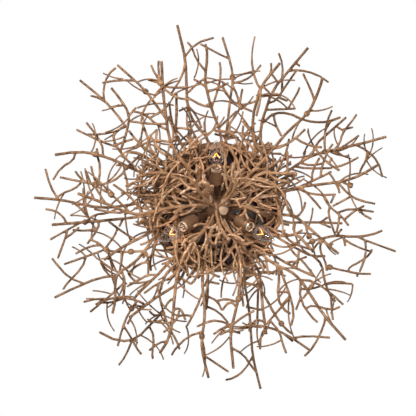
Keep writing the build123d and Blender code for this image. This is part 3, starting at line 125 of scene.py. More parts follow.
def copy_of(node, name, merge=0.000002):
    work = bmesh.new()
    work.from_mesh(nodes[node].data)
    bmesh.ops.remove_doubles(work, verts=work.verts, dist=merge)
    mesh = bpy.data.meshes.new(name)
    work.to_mesh(mesh)
    work.free()
    return new_piece(name, mesh)


def join_pieces(name, pieces):
    work = bmesh.new()
    for piece in pieces:
        work.from_mesh(piece.data)
        bpy.data.objects.remove(piece)
    mesh = bpy.data.meshes.new(name)
    work.to_mesh(mesh)
    work.free()
    return new_piece(name, mesh)


def one_skin(piece, voxel):
    remesh = piece.modifiers.new("one skin", "REMESH")
    remesh.mode = "VOXEL"
    remesh.voxel_size = voxel
    remesh.use_smooth_shade = True
    return settle(piece)


def smooth_by_angle(piece, degrees):
    mesh = piece.data
    mesh.shade_smooth()
    work = bmesh.new()
    work.from_mesh(mesh)
    for edge in work.edges:
        if len(edge.link_faces) == 2 and edge.calc_face_angle(0) > math.radians(degrees):
            edge.smooth = False
    work.to_mesh(mesh)
    work.free()


def finish_piece(piece, material, body, *replaced, slot=None):
    piece.data.materials.clear()
    piece.data.materials.append(material)
    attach(piece, body)
    if replaced:
        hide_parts(*replaced)
    print(piece.name, len(piece.data.polygons), "faces")
    return piece

# %% [markdown]
# ## The bronze finish
# The real light is cast and brazed metal with an antique gold-bronze finish: a dark brown patina lies in the
# hollows, and what stands proud has been rubbed back to a pale gold. Several materials share that, so it is
# one node group. It takes a height, from -1 in a hollow to 1 on a ridge, adds a cloudy noise of its own, and
# gives a colour, a roughness and a fine grain to feed a bump. The shader itself stays in each material.

# %% Node helpers
def feed(tree, node, sockets):
    """Gives each input of a node, by its name or number, a plain value or a link."""
    for key, value in sockets.items():
        if hasattr(value, "is_output"):
            tree.links.new(value, node.inputs[key])
        else:
            node.inputs[key].default_value = value


def put(tree, kind, sockets=None, **settings):
    """Adds a node with its settings, and feeds its inputs."""
    node = tree.nodes.new(kind)
    for name, value in settings.items():
        setattr(node, name, value)
    feed(tree, node, sockets or {})
    return node


def math_node(tree, operation, first, second=0.0, clamp=False):
    return put(tree, "ShaderNodeMath", {0: first, 1: second}, operation=operation, use_clamp=clamp).outputs[0]


def plus(tree, first, second):
    return math_node(tree, "ADD", first, second)


def minus(tree, first, second):
    return math_node(tree, "SUBTRACT", first, second)


def times(tree, first, second):
    return math_node(tree, "MULTIPLY", first, second)


def vector_node(tree, operation, first, second=None):
    sockets = {0: first}
    if second is not None:
        sockets["Scale" if operation == "SCALE" else 1] = second
    node = put(tree, "ShaderNodeVectorMath", sockets, operation=operation)
    return node.outputs["Value" if operation == "DOT_PRODUCT" else "Vector"]


def map_range(tree, value, low, high, to_low=0.0, to_high=1.0):
    return put(tree, "ShaderNodeMapRange", {"Value": value, "From Min": low, "From Max": high,
                                            "To Min": to_low, "To Max": to_high}).outputs["Result"]


def mix_colour(tree, factor, first, second):
    return put(tree, "ShaderNodeMix", {0: factor, 6: first, 7: second}, data_type="RGBA").outputs[2]


def noise(tree, place, scale, detail=3.0, roughness=0.55):
    return put(tree, "ShaderNodeTexNoise", {"Vector": place, "Scale": scale, "Detail": detail,
                                            "Roughness": roughness}).outputs["Fac"]


def bumped(tree, height, strength, distance):
    return put(tree, "ShaderNodeBump", {"Height": height, "Strength": strength,
                                        "Distance": distance}).outputs["Normal"]


def object_place(tree):
    return put(tree, "ShaderNodeTexCoord").outputs["Object"]


def new_material(name):
    material = bpy.data.materials.new(name)
    material.use_nodes = True
    return material, material.node_tree, material.node_tree.nodes["Principled BSDF"]

# %% Group: rubbed bronze
bronze_group = bpy.data.node_groups.new("rubbed bronze", "ShaderNodeTree")
for socket_name, kind, first_value in (
    ("Place", "Vector", (0.0, 0.0, 0.0)), ("Height", "Float", 0.0), ("Cloud Scale", "Float", 60.0),
    ("Grain Scale", "Float", 900.0), ("Patina", "Color", (0.140, 0.063, 0.025, 1)),
    ("Bronze", "Color", (0.335, 0.182, 0.090, 1)), ("Rubbed", "Color", (0.64, 0.475, 0.335, 1)),
):
    socket = bronze_group.interface.new_socket(socket_name, in_out="INPUT", socket_type="NodeSocket" + kind)
    socket.default_value = first_value
for socket_name, kind in (("Color", "Color"), ("Roughness", "Float"), ("Grain", "Float")):
    bronze_group.interface.new_socket(socket_name, in_out="OUTPUT", socket_type="NodeSocket" + kind)

given = put(bronze_group, "NodeGroupInput").outputs
cloud, grain = (put(bronze_group, "ShaderNodeTexNoise", {"Vector": given["Place"], "Scale": given[scale_name],
                                                         "Detail": detail}).outputs["Fac"]
                for scale_name, detail in (("Cloud Scale", 4.0), ("Grain Scale", 2.0)))
# For the twigs the height also carries painted shade from the bark, so the patina colour is partly painted
# shade.
worn_and_shaded_height = plus(bronze_group, given["Height"], map_range(bronze_group, cloud, 0.3, 0.7, -0.6, 0.6))
rubbed_share = map_range(bronze_group, worn_and_shaded_height, 0.2, 1.5)
patina_and_shade_share = map_range(bronze_group, worn_and_shaded_height, -0.3, -1.5)
rubbed_colour = mix_colour(bronze_group, rubbed_share, given["Bronze"], given["Rubbed"])
worn_and_shaded_colour = mix_colour(bronze_group, patina_and_shade_share, rubbed_colour, given["Patina"])
worn_roughness = map_range(bronze_group, worn_and_shaded_height, -1.0, 1.0, 0.66, 0.46)
put(bronze_group, "NodeGroupOutput", {"Color": worn_and_shaded_colour, "Roughness": worn_roughness, "Grain": grain})
print("rubbed bronze group:", len(bronze_group.nodes), "nodes")

# %% [markdown]
# Each bronze material places the group with its own values. The twigs read their height from an attribute
# that their bark writes, with painted shade in it. The smooth pressed pieces have no relief, so their height
# is a slow noise.

# %% Bronze materials
def bronze_material(name, height_attribute=None, grain_depth=0.0002, metallic=0.9, **group_values):
    material, tree, shader = new_material(name)
    group = put(tree, "ShaderNodeGroup", node_tree=bronze_group)
    feed(tree, group, {"Place": object_place(tree)})
    feed(tree, group, {key.replace("_", " "): value for key, value in group_values.items()})
    if height_attribute:
        height = put(tree, "ShaderNodeAttribute", attribute_name=height_attribute).outputs["Fac"]
        feed(tree, group, {"Height": height})
    grained = bumped(tree, group.outputs["Grain"], 0.5, grain_depth)
    feed(tree, shader, {"Base Color": group.outputs["Color"], "Roughness": group.outputs["Roughness"],
                        "Metallic": metallic, "Normal": grained})
    return material


twig_bronze = bronze_material("twig bronze", height_attribute="relief_and_shade", metallic=0.3)
canopy_bronze = bronze_material("canopy bronze", grain_depth=0.0001, Cloud_Scale=14.0, Grain_Scale=500.0,
                                Bronze=(0.32, 0.20, 0.115, 1), Rubbed=(0.50, 0.34, 0.21, 1),
                                Patina=(0.14, 0.08, 0.045, 1))
hub_bronze = bronze_material("hub bronze", grain_depth=0.0001, Cloud_Scale=90.0, Grain_Scale=700.0,
                             Bronze=(0.17, 0.092, 0.05, 1), Rubbed=(0.36, 0.22, 0.13, 1),
                             Patina=(0.05, 0.026, 0.014, 1))
braze_bronze = bronze_material("braze bronze", grain_depth=0.0003, Cloud_Scale=120.0, Grain_Scale=600.0,
                               metallic=0.3, Bronze=(0.36, 0.235, 0.145, 1), Rubbed=(0.60, 0.45, 0.32, 1),
                               Patina=(0.20, 0.11, 0.06, 1))
cup_bronze = bronze_material("cup bronze", grain_depth=0.0001, Cloud_Scale=70.0, Grain_Scale=900.0,
                             Bronze=(0.25, 0.138, 0.075, 1), Rubbed=(0.52, 0.33, 0.19, 1),
                             Patina=(0.08, 0.04, 0.02, 1))
nut_bronze = bronze_material("nut bronze", grain_depth=0.0001, Cloud_Scale=160.0, Grain_Scale=900.0,
                             Bronze=(0.48, 0.31, 0.19, 1), Rubbed=(0.68, 0.48, 0.31, 1),
                             Patina=(0.16, 0.09, 0.05, 1))
print("bronze materials made")

# %% [markdown]
# ## Bark on the twigs
# In the frame each branch is straight rods with mitred corners, which is how the real one is cut and brazed
# from bar. The real rods are also hammered and ground to look like bark, with weld beads filling the forks.
# A remesh first melts the rods of one branch into one skin, which rounds the mitres and the forks as brazing
# does. A Geometry Nodes tree then moves the skin's points along their normals by two noises, a long uneven
# swell and a short knobble. The melting thins a rod a little, so a fill along the normals gives that back,
# and where the skin lies under its own widely melted place, as in the crook of a fork, a fillet builds up.
# The tree writes what it did to an attribute, which the material reads: hollows hold patina and what stands
# proud is rubbed. The same attribute carries painted shade: the crooks are darkened, patina and painted shade
# in one, and the outer twigs are darkened by their reach from the axis, a painted shade.

# %% Helpers for node trees
socket_kinds = {int: "NodeSocketInt", float: "NodeSocketFloat", Vector: "NodeSocketVector"}


def node_tree(name, **inputs):
    """A tree that takes a shape, a material and one named input for each value given."""
    tree = bpy.data.node_groups.new(name, "GeometryNodeTree")
    for label in ("Geometry", "Material"):
        tree.interface.new_socket(label, in_out="INPUT", socket_type="NodeSocket" + label)
    for label, value in inputs.items():
        socket = tree.interface.new_socket(label.replace("_", " "), in_out="INPUT",
                                           socket_type=socket_kinds[type(value)])
        socket.default_value = value
    tree.interface.new_socket("Geometry", in_out="OUTPUT", socket_type="NodeSocketGeometry")
    return tree, put(tree, "NodeGroupInput").outputs


def end_tree(tree, given, geometry):
    real = put(tree, "GeometryNodeRealizeInstances", {"Geometry": geometry})
    painted = put(tree, "GeometryNodeSetMaterial", {"Geometry": real.outputs[0],
                                                    "Material": given["Material"]})
    put(tree, "NodeGroupOutput", {"Geometry": painted.outputs[0]})
    print(tree.name, "tree:", len(tree.nodes), "nodes")


def circle(tree, radius, resolution):
    return put(tree, "GeometryNodeCurvePrimitiveCircle", {"Radius": radius,
                                                          "Resolution": resolution}).outputs[0]


def kept_vector(tree, name):
    """The vector that a mesh keeps under a name, at each of its points."""
    return put(tree, "GeometryNodeInputNamedAttribute", {"Name": name},
               data_type="FLOAT_VECTOR").outputs["Attribute"]


def grow(piece, tree, **values):
    """Sends a piece through a tree, with the named inputs set, and keeps the plain mesh."""
    modifier = piece.modifiers.new(tree.name, "NODES")
    modifier.node_group = tree
    for item in tree.interface.items_tree:
        key = item.name.lower().replace(" ", "_")
        if item.item_type == "SOCKET" and item.in_out == "INPUT" and key in values:
            modifier[item.identifier] = values[key]
    return settle(piece)

# %% The bark tree
wide_melt = 14
taper_reaches = (0.12, 0.36)
# Reaches from the axis over which the outer twigs are darkened: painted shade.
outer_painted_shade_reaches = (0.09, 0.20)
# Hollow depth at which a crook is darkest: patina and painted shade in one.
crook_depth = 0.0008
bark, given = node_tree(
    "bark", Melt=3, Swell_Depth=0.0005, Swell_Size=0.022, Knobble_Depth=0.0004, Knobble_Size=0.006,
    Fill=0.00035, Taper=0.0003, Fork_Fill=1.6, Outer_Patina=0.9, Crook_Patina=1.6, Seed=0.0)
position = put(bark, "GeometryNodeInputPosition").outputs[0]
normal = put(bark, "GeometryNodeInputNormal").outputs[0]


def melted_place(iterations):
    return put(bark, "GeometryNodeBlurAttribute", {"Value": position, "Iterations": iterations},
               data_type="FLOAT_VECTOR").outputs["Value"]


def bark_noise(size, offset):
    scale = math_node(bark, "DIVIDE", 1.0, size)
    sockets = {"Scale": scale, "W": plus(bark, given["Seed"], offset), "Detail": 2.0}
    texture = put(bark, "ShaderNodeTexNoise", sockets, noise_dimensions="4D")
    return map_range(bark, texture.outputs["Fac"], 0.3, 0.7, -1.0, 1.0)


swell = bark_noise(given["Swell Size"], 0.0)
knobble = bark_noise(given["Knobble Size"], 7.0)
hollow = vector_node(bark, "SUBTRACT", melted_place(wide_melt), position)
hollow_depth = vector_node(bark, "DOT_PRODUCT", hollow, normal)
flat_place = put(bark, "ShaderNodeSeparateXYZ", {0: position}).outputs
reach = math_node(bark, "SQRT", plus(bark, times(bark, flat_place["X"], flat_place["X"]),
                                     times(bark, flat_place["Y"], flat_place["Y"])))

swell_push = times(bark, swell, times(bark, given["Swell Depth"], 0.5))
knobble_push = times(bark, knobble, times(bark, given["Knobble Depth"], 0.5))
taper_drop = times(bark, map_range(bark, reach, *taper_reaches), given["Taper"])
fork_push = times(bark, math_node(bark, "MAXIMUM", hollow_depth, 0.0), given["Fork Fill"])
push = minus(bark, plus(bark, swell_push, knobble_push), taper_drop)
push = plus(bark, plus(bark, push, given["Fill"]), fork_push)
melt = put(bark, "GeometryNodeSetPosition", {"Geometry": given["Geometry"],
                                             "Position": melted_place(given["Melt"])})
press = put(bark, "GeometryNodeSetPosition", {"Geometry": melt.outputs[0],
                                              "Offset": vector_node(bark, "SCALE", normal, push)})

relief_and_shade = plus(bark, times(bark, swell, 0.45), times(bark, knobble, 0.75))
# Painted shade: the outer twigs are darkened by their reach from the axis.
outer_painted_shade = times(bark, map_range(bark, reach, *outer_painted_shade_reaches), given["Outer Patina"])
# Darker in the crooks: patina, and painted shade of the crook.
crook_patina_and_shade = times(bark, map_range(bark, hollow_depth, 0.0, crook_depth), given["Crook Patina"])
relief_and_shade = minus(bark, minus(bark, relief_and_shade, outer_painted_shade), crook_patina_and_shade)
keep_relief_and_shade = put(bark, "GeometryNodeStoreNamedAttribute", {"Geometry": press.outputs[0], "Name": "relief_and_shade",
                                                            "Value": relief_and_shade})
smooth = put(bark, "GeometryNodeSetShadeSmooth", {"Geometry": keep_relief_and_shade.outputs[0]})
end_tree(bark, given, smooth.outputs[0])

# %% The branches
voxel_size = 0.00115
branch_nodes = sorted(name for name in nodes if name.startswith("branch_"))
twig_triangles = 0
for number, node in enumerate(branch_nodes):
    twigs = copy_of(node, node.replace("branch", "twigs"))
    one_skin(twigs, voxel_size)
    grow(twigs, bark, material=twig_bronze, seed=float(number))
    finish_piece(twigs, twig_bronze, "fixture", node, slot="bronze_twig")
    twig_triangles += 2 * len(twigs.data.polygons)
print("twig triangles:", twig_triangles)

# %% [markdown]
# ## Places on the hub and the arms
# The hub, its stems and the three lamp arms follow a rule: a turn about the light's axis, a tilt below level
# and a reach from the hub's middle. Pieces that dress them use the same rule, so each sits where the frame
# has it. `lamp_frame` gives a lamp's own axes: its line, and a side direction that lies level.

# %% Places by rule
hub_drop = 0.074
hub_radius = 0.037
stem_rings = ((-14.0, 15, 0.0), (10.0, 12, 15.0), (34.0, 12, 0.0), (60.0, 9, 30.0), (78.0, 3, 90.0))
arm_tilt = 44.0
arm_turns = (30.0, 150.0, 270.0)
same_point = 0.0000005


def aim(turn, tilt):
    flat = math.cos(math.radians(tilt))
    return Vector((flat * math.cos(math.radians(turn)), flat * math.sin(math.radians(turn)),
                   -math.sin(math.radians(tilt))))


def on_hub(turn, tilt, reach):
    return Vector((0, 0, -hub_drop)) + aim(turn, tilt) * reach


def lamp_frame(turn):
    along = aim(turn, arm_tilt)
    level = Vector((-math.sin(math.radians(turn)), math.cos(math.radians(turn)), 0))
    return along, level


def turned(name, origin, along, side, profile, sides):
    """A smooth piece turned about an axis from (radius, height) points; a point on the axis closes it."""
    upright = along.cross(side)
    work = bmesh.new()
    rings = []
    for radius, height in profile:
        centre = origin + along * height
        spins = [2 * math.pi * k / sides for k in range(sides)]
        rings.append([work.verts.new(centre + radius * (side * math.cos(spin) + upright * math.sin(spin)))
                      for spin in spins])
    for near, far in zip(rings[:-1], rings[1:]):
        for k in range(sides):
            work.faces.new((near[k], near[(k + 1) % sides], far[(k + 1) % sides], far[k]))
    bmesh.ops.remove_doubles(work, verts=work.verts, dist=same_point)
    bmesh.ops.recalc_face_normals(work, faces=work.faces)
    return new_piece(name, mesh_of(work, name))


def turned_on_lamp(name, turn, profile, sides=48):
    return turned(name, on_hub(turn, arm_tilt, 0), *lamp_frame(turn), profile, sides)


def mesh_of(work, name):
    mesh = bpy.data.meshes.new(name)
    work.to_mesh(mesh)
    work.free()
    mesh.shade_smooth()
    return mesh


def lines_piece(name, lines):
    """A piece of bare lines, one through each list of points."""
    places = []
    edges = []
    for line in lines:
        first = len(places)
        places += line
        edges += [(first + k, first + k + 1) for k in range(len(line) - 1)]
    mesh = bpy.data.meshes.new(name)
    mesh.from_pydata(places, edges, [])
    return new_piece(name, mesh)


def keep_vectors(piece, name, vectors):
    attribute = piece.data.attributes.new(name, "FLOAT_VECTOR", "POINT")
    for point, vector in zip(attribute.data, vectors):
        point.vector = vector
    return piece


print("first lamp points along", tuple(round(value, 3) for value in lamp_frame(arm_turns[0])[0]))

# %% [markdown]
# ## Twigs that cross
# On the real light, twigs of one stem lie over those of the next and are brazed where they touch. The frame
# keeps its branches apart, because its solids may not overlap, so the middle of the nest looks thinner there
# than it is. These curved twigs fill that in. Each starts inside a twig of the frame, which carries it, and
# grows step by step in a steady curve. It ends early where it would come near a lamp, hide one from below,
# or leave the frame's box. The lines become rods in a small tree, and then take the same bark.

# %% The rod tree
rods, given = node_tree("rods", Rod_Radius=0.0024, Tip_Share=0.8, Step=0.0016, Sides=8)
path = put(rods, "GeometryNodeMeshToCurve", {"Mesh": given["Geometry"]})
steps = put(rods, "GeometryNodeResampleCurve", {"Curve": path.outputs[0], "Length": given["Step"]},
            mode="LENGTH")
share = put(rods, "GeometryNodeSplineParameter").outputs["Factor"]
taper = map_range(rods, share, 0.0, 1.0, 1.0, given["Tip Share"])
tapered = put(rods, "GeometryNodeSetCurveRadius", {"Curve": steps.outputs[0], "Radius": taper})
section = circle(rods, given["Rod Radius"], given["Sides"])
rod = put(rods, "GeometryNodeCurveToMesh", {"Curve": tapered.outputs[0], "Profile Curve": section,
                                            "Fill Caps": True})
if "Scale" in rod.inputs:
    feed(rods, rod, {"Scale": taper})
end_tree(rods, given, rod.outputs[0])

# %% Where crossing twigs run
lamp_clearance = 0.0215
lamp_view_clearance = 0.0195
lamp_cover_height = 0.02
lamp_reaches = (0.060, 0.200)
canopy_clear_drop = 0.038
ceiling_clear_drop = 0.03
canopy_reach = 0.152
hub_front_reach = 0.062
box_margin = 0.004
twig_step = 0.005
least_points = 6
first_slope = 0.35
slope_wander = 0.05
heading_wander = 2.0


def near_lamp(place):
    """Whether a place touches a lamp's room, or hides the lamp from below."""
    for turn in arm_turns:
        along = aim(turn, arm_tilt)
        centre = on_hub(turn, arm_tilt, 0)
        low, high = lamp_reaches
        nearest = centre + along * min(max((place - centre).dot(along), low), high)
        flat_along = Vector((along.x, along.y))
        flat = Vector((place.x, place.y))
        flat_reach = min(max(flat.dot(flat_along) / flat_along.length_squared, low), high)
        seen_apart = (flat - flat_along * flat_reach).length
        hides = seen_apart < lamp_view_clearance and place.z < nearest.z + lamp_cover_height
        if hides or (place - nearest).length < lamp_clearance:
            return True
    return False


def in_box(place):
    low, high = frame_box
    return all(low[axis] + box_margin < place[axis] < high[axis] - box_margin for axis in range(3))


def in_room(place):
    reach = math.hypot(place.x, place.y)
    clear_drop = canopy_clear_drop if reach < canopy_reach else ceiling_clear_drop
    return in_box(place) and reach >= hub_front_reach and -place.z > clear_drop and not near_lamp(place)


def crossing_line(chance, start, length, swing, curls):
    """Points of one curved twig from a place in the frame, cut short where it has no room."""
    heading = math.degrees(math.atan2(start.y, start.x)) + chance.choice((-1, 1)) * chance.uniform(*swing)
    curl = chance.choice((-1, 1)) * chance.uniform(*curls) * twig_step
    slope = chance.uniform(-first_slope, first_slope)
    points = [start.copy()]
    for _ in range(int(length / twig_step)):
        heading += curl + chance.uniform(-heading_wander, heading_wander)
        slope += chance.uniform(-slope_wander, slope_wander)
        way = Vector((math.cos(math.radians(heading)), math.sin(math.radians(heading)), slope)).normalized()
        place = points[-1] + way * twig_step
        if not in_room(place):
            break
        points.append(place)
    return points


def crossing_lines(chance, crossing):
    lines = []
    while len(lines) < crossing.count:
        mesh = nodes[chance.choice(branch_nodes)].data
        start = mesh.vertices[chance.randrange(len(mesh.vertices))].co
        nearest, farthest = crossing.reaches
        if not nearest < math.hypot(start.x, start.y) < farthest or not in_room(start):
            continue
        line = crossing_line(chance, start, chance.uniform(*crossing.lengths), crossing.swing, crossing.curls)
        if len(line) >= least_points:
            lines.append(line)
    return lines


def twig_piece(name, lines, radius, seed):
    twigs = grow(lines_piece(name, lines), rods, material=twig_bronze, rod_radius=radius)
    grow(twigs, bark, material=twig_bronze, melt=1, fill=0.0002, fork_fill=0.0, seed=float(seed))
    return finish_piece(twigs, twig_bronze, "fixture", slot="bronze_twig")

# %% Crossing twigs
Crossing = namedtuple("Crossing", "name seed count reaches lengths swing curls radius")
for crossing in (
    Crossing("crossing_inner", 11, 80, (0.045, 0.110), (0.060, 0.120), (15, 75), (400, 900), 0.0025),
    Crossing("crossing_middle", 12, 90, (0.090, 0.150), (0.060, 0.120), (20, 100), (400, 900), 0.0024),
    Crossing("crossing_outer", 13, 120, (0.150, 0.290), (0.045, 0.095), (30, 110), (400, 1000), 0.0022),
    Crossing("crossing_edge", 14, 60, (0.240, 0.350), (0.040, 0.080), (30, 100), (400, 900), 0.0021),
):
    crossing_chance = random.Random(crossing.seed)
    twig_piece(crossing.name, crossing_lines(crossing_chance, crossing), crossing.radius, crossing.seed)

# %% [markdown]
# Long stems also stand all round the hub, more than the frame has. Each is given by its turn and its tilt.

# %% Stems at the hub
hub_stem_seed = 21
hub_stem_radius = 0.0029
hub_stem_start = hub_radius * 0.9
hub_stem_lengths = (0.075, 0.130)
hub_stem_levelling = 0.965
hub_stem_curl = 1.2
hub_stem_wander = 1.5
hub_stem_ways = [(168, 24), (176, 40), (184, 20), (193, 34), (203, 22), (222, 28), (236, 40), (248, 22),
                 (293, 26), (306, 38), (318, 22), (334, 30), (346, 18), (354, 34), (4, 20), (12, 40),
                 (62, 24), (76, 40), (88, 22), (102, 36), (114, 22), (124, 44), (200, 62), (320, 64),
                 (80, 66)]


def hub_stem_line(chance, turn, tilt):
    """Points of one long stem out of the hub, which levels off as it goes and stops where it has no room."""
    length = chance.uniform(*hub_stem_lengths)
    points = [on_hub(turn, tilt, hub_stem_start)]
    curl = chance.uniform(-hub_stem_curl, hub_stem_curl)
    for _ in range(int(length / twig_step)):
        turn += curl + chance.uniform(-hub_stem_wander, hub_stem_wander)
        tilt *= hub_stem_levelling
        place = points[-1] + aim(turn, tilt) * twig_step
        if not in_box(place) or near_lamp(place):
            break
        points.append(place)
    return points


hub_stem_chance = random.Random(hub_stem_seed)
twig_piece("hub_stems", [hub_stem_line(hub_stem_chance, *way) for way in hub_stem_ways], hub_stem_radius,
           hub_stem_seed)

# %% [markdown]
# ## Beads where the stems enter the hub
# On the real light each stem is brazed into a hole of the cast hub, and the braze stands round it as a lumpy
# ring, which runs together with its neighbours into pools. They repeat, so they are a Geometry Nodes tree:
# it sets a low ring on each point of a small mesh, turns it to the point's own direction, gives each ring its
# own size, and roughens all by a noise. Short arms draw each pool out into a star, along the stems round it.
# A remesh then makes one skin of them all.

# %% The bead tree
beads, given = node_tree("beads", Ring_Radius=0.0042, Bead_Radius=0.0024, Lump_Depth=0.0011, Lump_Size=0.007,
                         Seed=3)
ring = put(beads, "GeometryNodeCurveToMesh", {"Curve": circle(beads, given["Ring Radius"], 14),
                                              "Profile Curve": circle(beads, given["Bead Radius"], 7)})
direction = kept_vector(beads, "direction")
turned_to = put(beads, "FunctionNodeAlignRotationToVector", {"Vector": direction}, axis="Z")
own_size = put(beads, "FunctionNodeRandomValue", {2: 0.75, 3: 1.45, "Seed": given["Seed"]}, data_type="FLOAT")
placed = put(beads, "GeometryNodeInstanceOnPoints", {
    "Points": given["Geometry"], "Instance": ring.outputs[0], "Rotation": turned_to.outputs[0],
    "Scale": own_size.outputs[1]})
made_real = put(beads, "GeometryNodeRealizeInstances", {"Geometry": placed.outputs[0]})
lump = put(beads, "ShaderNodeTexNoise", {"Scale": math_node(beads, "DIVIDE", 1.0, given["Lump Size"])})
lump_push = times(beads, map_range(beads, lump.outputs["Fac"], 0.3, 0.7, -1.0, 1.0), given["Lump Depth"])
lump_normal = put(beads, "GeometryNodeInputNormal").outputs[0]
lump_offset = vector_node(beads, "SCALE", lump_normal, lump_push)
lumped = put(beads, "GeometryNodeSetPosition", {"Geometry": made_real.outputs[0], "Offset": lump_offset})
bead_smooth = put(beads, "GeometryNodeSetShadeSmooth", {"Geometry": lumped.outputs[0]})
end_tree(beads, given, bead_smooth.outputs[0])

# %% The hub's beads
bead_reach = 0.045
bead_search = 0.0045
braze_voxel = 0.0009
star_arms = 5
star_reach = 0.0115
star_rise = 0.0015
stem_starts = [vertex.co for node in branch_nodes for vertex in nodes[node].data.vertices
               if abs((vertex.co - on_hub(0, 0, 0)).length - bead_reach) < bead_search]


def has_stem(turn, tilt):
    place = on_hub(turn, tilt, bead_reach)
    return any((start - place).length < bead_search for start in stem_starts)


hole_ways = [(first + 360.0 / count * slot, tilt)
             for tilt, count, first in stem_rings for slot in range(count)]
stem_ways = [way for way in hole_ways if has_stem(*way)]
pool_ways = [(210.0, 49.0), (222.0, 58.0), (196.0, 46.0), (338.0, 62.0), (20.0, 68.0)]
pool_reach = hub_radius + 0.0065
print("stems in the hub:", len(stem_ways))


def bead_piece(name, ways, reach, **sizes):
    piece = lines_piece(name, [[on_hub(turn, tilt, reach)] for turn, tilt in ways])
    keep_vectors(piece, "direction", [aim(turn, tilt) for turn, tilt in ways])
    return grow(piece, beads, material=braze_bronze, **sizes)


def star_line(turn, tilt, arm):
    """Points of one arm of braze, drawn out from a pool along the stems round it."""
    outward = aim(turn, tilt)
    side = outward.orthogonal().normalized()
    middle = on_hub(turn, tilt, pool_reach + 0.001)
    way = Quaternion(outward, math.radians(360.0 / star_arms * arm + turn)) @ side
    return [middle, middle + way * star_reach / 2 + outward * star_rise, middle + way * star_reach]


star_lines = [star_line(turn, tilt, arm) for turn, tilt in pool_ways for arm in range(star_arms)]
hub_braze = join_pieces("hub_braze", [
    bead_piece("bead", stem_ways, hub_radius),
    bead_piece("pool", pool_ways, pool_reach, ring_radius=0.0050, bead_radius=0.0036, lump_depth=0.0018),
    grow(lines_piece("star", star_lines), rods, material=braze_bronze, rod_radius=0.0040, tip_share=0.5)])
one_skin(hub_braze, braze_voxel)
grow(hub_braze, bark, material=braze_bronze, melt=5, fill=0.0003, fork_fill=2.0, taper=0.0)
finish_piece(hub_braze, braze_bronze, "fixture", slot="bronze")

# %% [markdown]
# ## The other metals, the mirror and the glass
# The canopy's face is a mirror: a nearly smooth metal whose colour has dark rosy clouds over a light grey.
# These are painted reflections, the clouds of a dark room and the grey of a bright one. The lamp glass is
# clear, and lets most of a shadow ray through, because a thin bulb hardly shades anything.

# %% Materials of the small pieces
def plain_metal(name, dark, light, roughness, scale=120.0, metallic=1.0, grain=0.00005, edges=(0.35, 0.65)):
    material, tree, shader = new_material(name)
    place = object_place(tree)
    # Patches of two colours: random tone on the plain metals, and painted reflections on the mirror.
    tone_and_painted_reflection_patches = map_range(tree, noise(tree, place, scale), *edges)
    rough = map_range(tree, noise(tree, place, scale * 3), 0.3, 0.7, roughness * 0.8, roughness * 1.25)
    feed(tree, shader, {"Base Color": mix_colour(tree, tone_and_painted_reflection_patches, (*dark, 1), (*light, 1)), "Roughness": rough,
                        "Normal": bumped(tree, noise(tree, place, scale * 12), 0.3, grain),
                        "Metallic": metallic})
    return material


zinc_steel = plain_metal("zinc steel", (0.42, 0.42, 0.44), (0.62, 0.62, 0.60), 0.38)
green_steel = plain_metal("green steel", (0.02, 0.12, 0.05), (0.04, 0.2, 0.08), 0.4, metallic=0.5)
shell_brass = plain_metal("shell brass", (0.42, 0.25, 0.13), (0.56, 0.36, 0.20), 0.32)
contact_lead = plain_metal("contact lead", (0.3, 0.3, 0.31), (0.45, 0.45, 0.45), 0.45, scale=400.0)
sleeve_gold = plain_metal("sleeve gold", (0.66, 0.50, 0.35), (0.80, 0.66, 0.50), 0.38, metallic=0.6)
core_copper = plain_metal("core copper", (0.20, 0.09, 0.045), (0.32, 0.16, 0.08), 0.4, metallic=0.6)
# The mirror's dark rosy and light grey patches are painted reflections.
smoked_mirror = plain_metal("smoked mirror", (0.17, 0.135, 0.15), (0.42, 0.42, 0.40), 0.03, scale=21.0,
                            grain=0.000002, edges=(0.50, 0.62))

glass_shadow = 0.12
clear_glass, tree, shader = new_material("clear glass")
shadow_ray = put(tree, "ShaderNodeLightPath").outputs["Is Shadow Ray"]
glass_cloud = noise(tree, object_place(tree), 40.0)
glass_tint = mix_colour(tree, glass_cloud, (0.97, 0.97, 0.96, 1), (1.0, 1.0, 1.0, 1))
feed(tree, shader, {"Transmission Weight": 1.0, "IOR": 1.45, "Roughness": 0.01, "Base Color": glass_tint,
                    "Alpha": map_range(tree, shadow_ray, 0.0, 1.0, 1.0, glass_shadow)})

filament_glow, tree, shader = new_material("filament glow")
heat = map_range(tree, noise(tree, object_place(tree), 300.0), 0.3, 0.7)
feed(tree, shader, {"Emission Color": mix_colour(tree, heat, (1.0, 0.22, 0.02, 1), (1.0, 0.36, 0.06, 1)),
                    "Base Color": (0.1, 0.1, 0.1, 1), "Emission Strength": 9.0})
print("small materials made")

# %% [markdown]
# ## The lamp glass
# The bulb is blown glass, far thinner than the solid of the frame. Its outline is written as radius and reach
# along the lamp's line, rounded by a smooth line through the points, and turned, which gives a surface even
# enough to refract cleanly. Solidify gives it a thin wall inwards.

# %% Lamp glass
glass_outline = ((5.2, 112.35), (5.7, 118.3), (7.1, 124.0), (9.6, 129.4), (12.7, 134.4), (15.6, 139.5),
                 (16.9, 145.3), (16.7, 151.2), (15.4, 156.9), (13.5, 162.5), (11.3, 168.0), (9.0, 173.5),
                 (6.7, 178.9), (4.5, 184.4), (2.6, 188.6), (1.2, 189.8))


def rounded_line(points, steps=5):
    """More points on a smooth line through the given ones."""
    ends = [points[0]] + points + [points[-1]]
    line = []
    for before, start, end, after in zip(ends[:-3], ends[1:-2], ends[2:-1], ends[3:]):
        for k in range(steps):
            t = k / steps
            line.append(tuple(0.5 * (2 * s + (e - b) * t + (2 * b - 5 * s + 4 * e - a) * t * t
                                     + (3 * s - b - 3 * e + a) * t ** 3)
                              for b, s, e, a in zip(before, start, end, after)))
    return line + [points[-1]]


